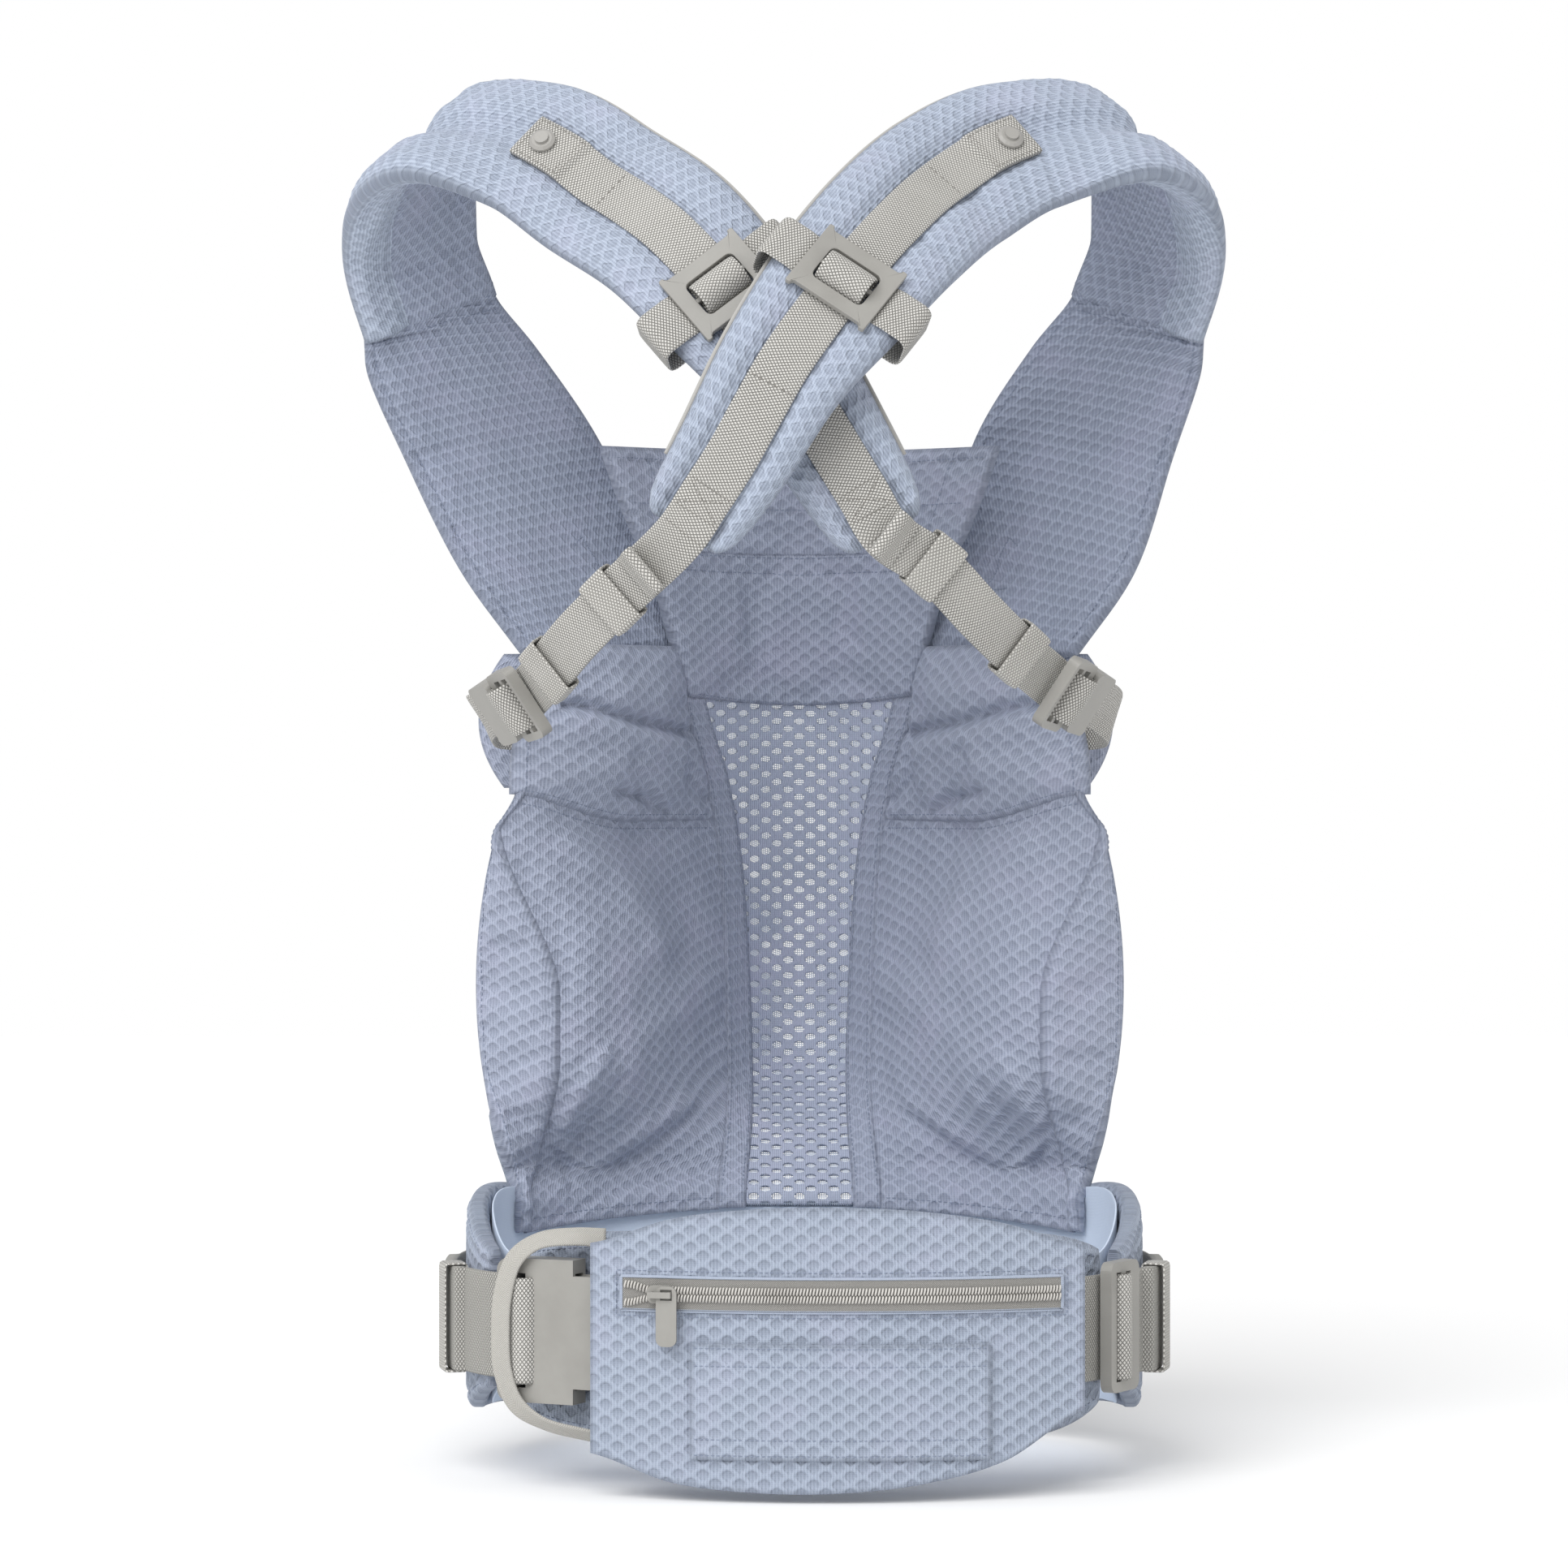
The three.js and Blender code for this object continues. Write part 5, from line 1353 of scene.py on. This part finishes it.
def pouch_point(x, out, z):
    """A point of the pouch's curved face, x measured along it."""
    angle = (x - POUCH_MIDDLE) / POUCH_RADIUS
    radius = POUCH_RADIUS + out
    y = POUCH_BACK + POUCH_RADIUS - radius * np.cos(angle)
    return np.stack(np.broadcast_arrays(POUCH_MIDDLE + radius * np.sin(angle), y, z), -1)


def pouch_sheet(left, right, low, high, out):
    def surface(u, v):
        x = mix(left, right, u)
        return pouch_point(x, out, mix(low(x), high(x), v))

    return surface


def pouch_uv(surface):
    return lambda u, v: (surface(u, v)[..., 0], surface(u, v)[..., 2])


def on_line(a, b, k, out):
    """Points of the pouch's face at shares k from a to b, which are (x, z)."""
    return pouch_point(mix(a[0], b[0], k), out, mix(a[1], b[1], k))


def make_pouch():
    share = lambda x: (x - POUCH_LEFT) / (POUCH_RIGHT - POUCH_LEFT)
    surface = pouch_sheet(POUCH_LEFT, POUCH_RIGHT, lambda x: through(POUCH_BOTTOM, share(x)),
                          lambda x: through(POUCH_TOP, share(x)), 0.0)

    def carve(u, v, x, y):
        p = surface(u, v)
        px, pz = p[..., 0], p[..., 2]
        window = smooth(-1.0, 1.0, px + 84.5) * smooth(-1.0, 1.0, 122.5 - px)
        slot = window * smooth(-1.2, 1.2, 7.2 - np.abs(pz - ZIP_HEIGHT))
        lip = window * ridge(np.abs(pz - ZIP_HEIGHT) - 8.6, 1.2) * 0.5
        seams = (line_mark([(-52.5, 12), (-52.5, -66)], px, pz, 1.0)
                 + line_mark([(88.5, 12), (88.5, -60)], px, pz, 1.0))
        return -0.9 * slot + lip - 0.9 * seams

    puff = lambda u, v, crown: (-0.3 + 0.35 * crown, 2.2 + 5.6 * (sine(u) * sine(v)) ** 0.5)
    pouch = soft("pouch_bag", surface, M_POUCH, ["pouch_body"], (236, 132), 1.7, 6.0, knit=POUCH_KNIT,
                 wave=0.25, seed=91, carve=carve, uv_from=pouch_uv(surface), shape=puff)
    pocket_surface = pouch_sheet(-52, 88, level(-55), level(-1), 1.1)
    ends = lambda u, v, x, y: 0.5 * smooth(46, 54, y)
    pocket = soft("slip_pocket", pocket_surface, M_POUCH, ["pouch_pocket"], (140, 54), 1.7, 2.0, 0.3, 0.8, 0.6,
                  POUCH_KNIT, 0.15, 92, ends, pouch_uv(pocket_surface))
    stitch_rows(pocket, "root_blue", [(z + 55) / 54 for z in (-3.2, -11.5, -45.5, -52.8)], 0.012, pitch=2.6,
                length=1.9, thick=0.42, lift=0.05)
    tape_surface = pouch_sheet(-85, 123, level(13.4), level(29.6), 0.7)
    tape = soft("zip_tape", tape_surface, M_TAPE, ["zipper_tape"], (206, 15), 1.6, 1.5, 0.25, 0.35, 0.35, None,
                0.05, 93, None, pouch_uv(tape_surface))

    def sides_of_window(offset):
        left, right, bottom, top = -84.8 - offset, 122.8 + offset, 13.9 - offset, 29.1 + offset
        corners = [(left, bottom), (right, bottom), (right, top), (left, top), (left, bottom)]
        return zip(corners[:-1], corners[1:])

    rim = np.vstack([on_line(a, b, np.linspace(0, 1, 60, endpoint=False), 0.9)
                     for a, b in sides_of_window(0.2)])
    tube("zip_window_edge", rim, 0.8, M_PLAIN_LIGHT, closed=True)
    for a, b in sides_of_window(2.9):
        k = np.linspace(0, 1, 80)
        p = on_line(a, b, k, 0.45)
        stitch("root_blue", p, unit(on_line(a, b, k, 1.45) - p), 2.5, 1.8, 0.42)
    make_teeth()


def make_teeth():
    """Two rows of nylon coil: each turn is a slanted loop; left of the slider the rows part."""
    verts, faces = [], []
    sides, steps = 6, 7
    pitch = 1.5
    k = np.linspace(0, 1, steps + 1)
    out = 1.0 + 1.5 * np.sin(np.pi * mix(0.12, 0.9, k)) ** 0.7
    for x in np.arange(-83.0, 121.5, pitch):
        split = 2.4 * smooth(-70.0, -82.0, x)
        for side in (1, -1):
            centre = x + (0.5 * pitch if side < 0 else 0.0)
            points = pouch_point(centre + 0.7 * k * side, out, ZIP_HEIGHT + side * (split + 0.25 + 3.1 * k))
            along = unit(np.gradient(points, axis=0))
            a = unit(np.cross(along, (1.0, 0.02, 0.1)))
            b = np.cross(along, a)
            turn = np.linspace(0, 2 * np.pi, sides, endpoint=False)
            ring = a[:, None] * np.cos(turn)[None, :, None] + b[:, None] * np.sin(turn)[None, :, None]
            start = len(verts)
            verts.extend((points[:, None] + ring * 0.48).reshape(-1, 3).tolist())
            for i in range(start, start + steps * sides, sides):
                faces += [(i + a, i + b, i + sides + b, i + sides + a)
                          for a, b in zip(range(sides), [*range(1, sides), 0])]
            faces.append(tuple(range(start, start + sides))[::-1])
            faces.append(tuple(range(start + steps * sides, start + (steps + 1) * sides)))
    attach(make_mesh("zip_coil", verts, faces, None, M_COIL), nodes=["zipper_coil"])


# --- moulded fittings, and the webbing wrapped over their bars ----------------


def roll(name, place, centre, radius, width, body):
    """Webbing wrapped over a buckle's bar, seen as a roll in its window."""
    at, along, across, out = place
    a = np.radians(np.linspace(200, -20, 23))
    arc = np.stack([centre[0] + radius * np.cos(a), centre[1] + radius * np.sin(a)], -1)
    profile = np.vstack([arc[0] + (0.4, -3.0), arc, arc[-1] - (0.4, 3.0)])
    loop_band(name, (at, across, along, out), profile, width, 1.7, M_WEBBING, body)


def make_sliders():
    """The strap sliders: a flat plate with four corner tips, a window and a bar that the webbing runs over."""
    outer = ((17.6, 9.0), (17.6, 17.9), (18.3, 18.8), (19.8, 19.4), (19.8, 21.3), (19.2, 22.0), (8.5, 22.0))
    turn = np.radians(np.linspace(0, 90, 5))
    inner = ((10.0, 9.0), *zip(7.0 + 3 * np.cos(turn), 10.9 + 3 * np.sin(turn)), (4.0, 13.9))
    bar = ((-1.2, -15), (1.2, -15), (1.2, 15), (-1.2, 15))
    low, high = 9.8, 12.8
    loops = []
    for corner in (np.array(outer), np.array(inner)):
        mirrored = ((corner, (1, 1)), (corner[::-1], (-1, 1)), (corner, (-1, -1)), (corner[::-1], (1, -1)))
        loops.append(np.vstack([points * signs for points, signs in mirrored]))
    flat = [(x, y, z) for z in (low, high) for loop in loops for x, y in loop]
    flat += [(x, y, z) for z in (low + 0.2, high - 0.2) for x, y in bar]
    n = len(loops[0])
    faces = []
    for i, j in zip(range(n), [*range(1, n), 0]):
        faces += [(i + 2 * n, j + 2 * n, j + 3 * n, i + 3 * n), (j, i, i + n, j + n),
                  (i, j, j + 2 * n, i + 2 * n), (j + n, i + n, i + 3 * n, j + 3 * n)]
    b = 4 * n
    faces += [(b + 3, b + 2, b + 1, b), (b + 4, b + 5, b + 6, b + 7)]
    faces += [(b + i, b + (i + 1) % 4, b + 4 + (i + 1) % 4, b + 4 + i) for i in range(4)]
    for name, strap in STRAPS.items():
        at, along, across, out = slider_frame(strap)
        verts = [at + x * along + y * across + z * out for x, y, z in flat]
        slider = make_mesh(f"slider_frame_{name}", verts, faces, None, M_PLASTIC)
        soften(slider, 0.7)
        attach(slider, f"strap_slider_{name}", [f"strap_slider_{name}"])


def make_rolls():
    socket_end = 39.5
    for name, side in PAIRS:
        roll(f"slider_roll_{name}", slider_frame(STRAPS[name]), (0.0, 9.2), 8.2, WEBBING,
             f"strap_slider_{name}")
        at = np.array((-136, -35, 297) if side < 0 else (128, -35, 302), float)
        along = unit(np.array((0.39 * side, 0.92, -0.1)))
        across = unit(np.cross((0.75 * side, -0.38, -0.54), along))
        out = np.cross(along, across)
        roll(f"side_buckle_roll_{name}", (at, along, across, out), (6.6, 0.4), 8.4, WEBBING,
             f"side_plug_{name}")
        sewn = (side * 132, float(bowl_depth(132, 287)) + 4.4, 287)
        tab = Route([(tuple(at + along * (socket_end + past) - out), tuple(out)) for past in (6.5, 20)]
                    + [((side * 157, 39, 290), (side * 0.95, 0.05, -0.3)),
                       ((side * 150, 52, 288), (side * 0.75, 0.65, -0.1)), (sewn, (side * 0.3, 0.95, 0))])
        strip(f"socket_tab_cloth_{name}", tab, WEBBING, 2, M_WEBBING, [f"socket_tab_{name}"])
    turn = math.radians(-25)
    roll("waist_socket_roll", upright((-114, -101.5, 0), (math.cos(turn), math.sin(turn), 0)), (-16.8, 3.4),
         6.6, WAIST_WEBBING, "root")
    roll("waist_adjuster_roll", upright((152, -80, 0), (0.5, 0.866, 0)), (-2.0, 1.4), 4.8, WAIST_WEBBING,
         "waist_adjuster")


def soften(obj, width):
    """Rounded edges of a moulded part, in millimetres."""
    bevel = obj.modifiers.new("soft_edges", "BEVEL")
    bevel.width = width * MM
    bevel.segments = 3
    bevel.limit_method = "ANGLE"
    bevel.angle_limit = math.radians(35)
    bevel.use_clamp_overlap = True
    obj.data.polygons.foreach_set("use_smooth", np.full(len(obj.data.polygons), True))
    normal = obj.modifiers.new("even_normals", "WEIGHTED_NORMAL")
    normal.keep_sharp = True


def finish_nodes():
    """The CAD nodes still shown keep their shape and get softened edges and their finish."""
    edges = {"snap_stud": 0.35, "zipper_slider": 0.35, "zip_pull": 0.35, "side_plug": 0.6}
    for name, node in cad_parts.items():
        if not node.hide_render:
            node.data.materials.clear()
            node.data.materials.append(M_SNAP if name.startswith("snap_stud") else M_PLASTIC)
            soften(node, next((width for start, width in edges.items() if name.startswith(start)), 0.8))


def build_stitches():
    """One piece for the stitches of each group. Those on the head support ride on no body, as the head support
    does.
    """
    blue, grey = (M_THREAD, "knit"), (M_THREAD_GREY, "webbing")
    groups = {"root_blue": ("root", *blue), "root_grey": ("root", *grey), "head": (None, *blue),
              "slider_left": ("strap_slider_left", *grey), "slider_right": ("strap_slider_right", *grey)}
    for group, (points, faces) in STITCHES.items():
        body, material, slot = groups[group]
        piece = make_mesh(f"stitches_{group}", np.vstack(points), faces, None, material)
        if body is None:
            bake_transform(piece)
        attach(piece, body)


# --- stage --------------------------------------------------------------------


PHOTO_PIXELS = 1932
FOCAL_PIXELS = 6000
SENSOR = 36


def aimed(name, data, place, direction):
    made = add_object(name, data)
    made.location = place
    made.rotation_mode = "QUATERNION"
    made.rotation_quaternion = Vector(direction).to_track_quat("-Z", "Y")
    return made


def make_stage():
    n = Nodes("stage_floor")
    material = n.finish(n.colour(n.noise(3.0, 2.0), (0.97, 0.97, 0.97), (0.98, 0.98, 0.98)), None, 0.0001, 0.9)
    size, height = 4000, -75
    corners = [(x * size, y * size, height) for x, y in ((-1, -1), (1, -1), (1, 1), (-1, 1))]
    make_mesh("floor", corners, [(0, 1, 2, 3)], None, material)
    world = bpy.data.worlds.new("studio")
    scene.world = world
    world.use_nodes = True
    tree = world.node_tree
    back = tree.nodes["Background"]
    back.inputs[0].default_value = (1.0, 1.0, 1.0, 1)
    path = tree.nodes.new("ShaderNodeLightPath")
    level_of = tree.nodes.new("ShaderNodeMapRange")
    level_of.inputs["To Min"].default_value = 0.66
    level_of.inputs["To Max"].default_value = 1.0
    tree.links.new(path.outputs["Is Camera Ray"], level_of.inputs["Value"])
    tree.links.new(level_of.outputs["Result"], back.inputs[1])

    sky = bpy.data.lights.new("sky", "SUN")
    sky.angle = math.radians(50)
    sky.energy = 1.9
    aimed("sky", sky, (0, 0, 0), (0.45, 1.0, -1.15))
    key = bpy.data.lights.new("key", "AREA")
    key.size = 0.8
    key.energy = 5
    aimed("key", key, (-1.1, -1.6, 1.0), (1.1, 1.6, -0.7))

    data = bpy.data.cameras.new("camera")
    data.sensor_width = SENSOR
    data.lens = FOCAL_PIXELS * SENSOR / PHOTO_PIXELS
    data.clip_start, data.clip_end = 0.05, 30
    camera = add_object("camera", data)
    camera.location = (-0.008, -2.4, 0.258)
    camera.rotation_euler = (math.pi / 2, 0, 0)
    scene.camera = camera
    scene.view_settings.view_transform = "Standard"
    scene.view_settings.look = "None"


make_belt()
make_panel()
make_gussets()
make_wings()
for strap_name, free, neck in (("left", TO_RIGHT_BUCKLE, 1), ("right", TO_LEFT_BUCKLE, -1)):
    make_strap(strap_name, STRAPS[strap_name], neck)
    webbing = make_strap_webbing(strap_name, STRAPS[strap_name], free)
    make_strap_fittings(strap_name, STRAPS[strap_name], webbing)
make_waist_webbing()
make_sliders()
make_rolls()
make_pouch()
finish_nodes()
build_stitches()
make_stage()
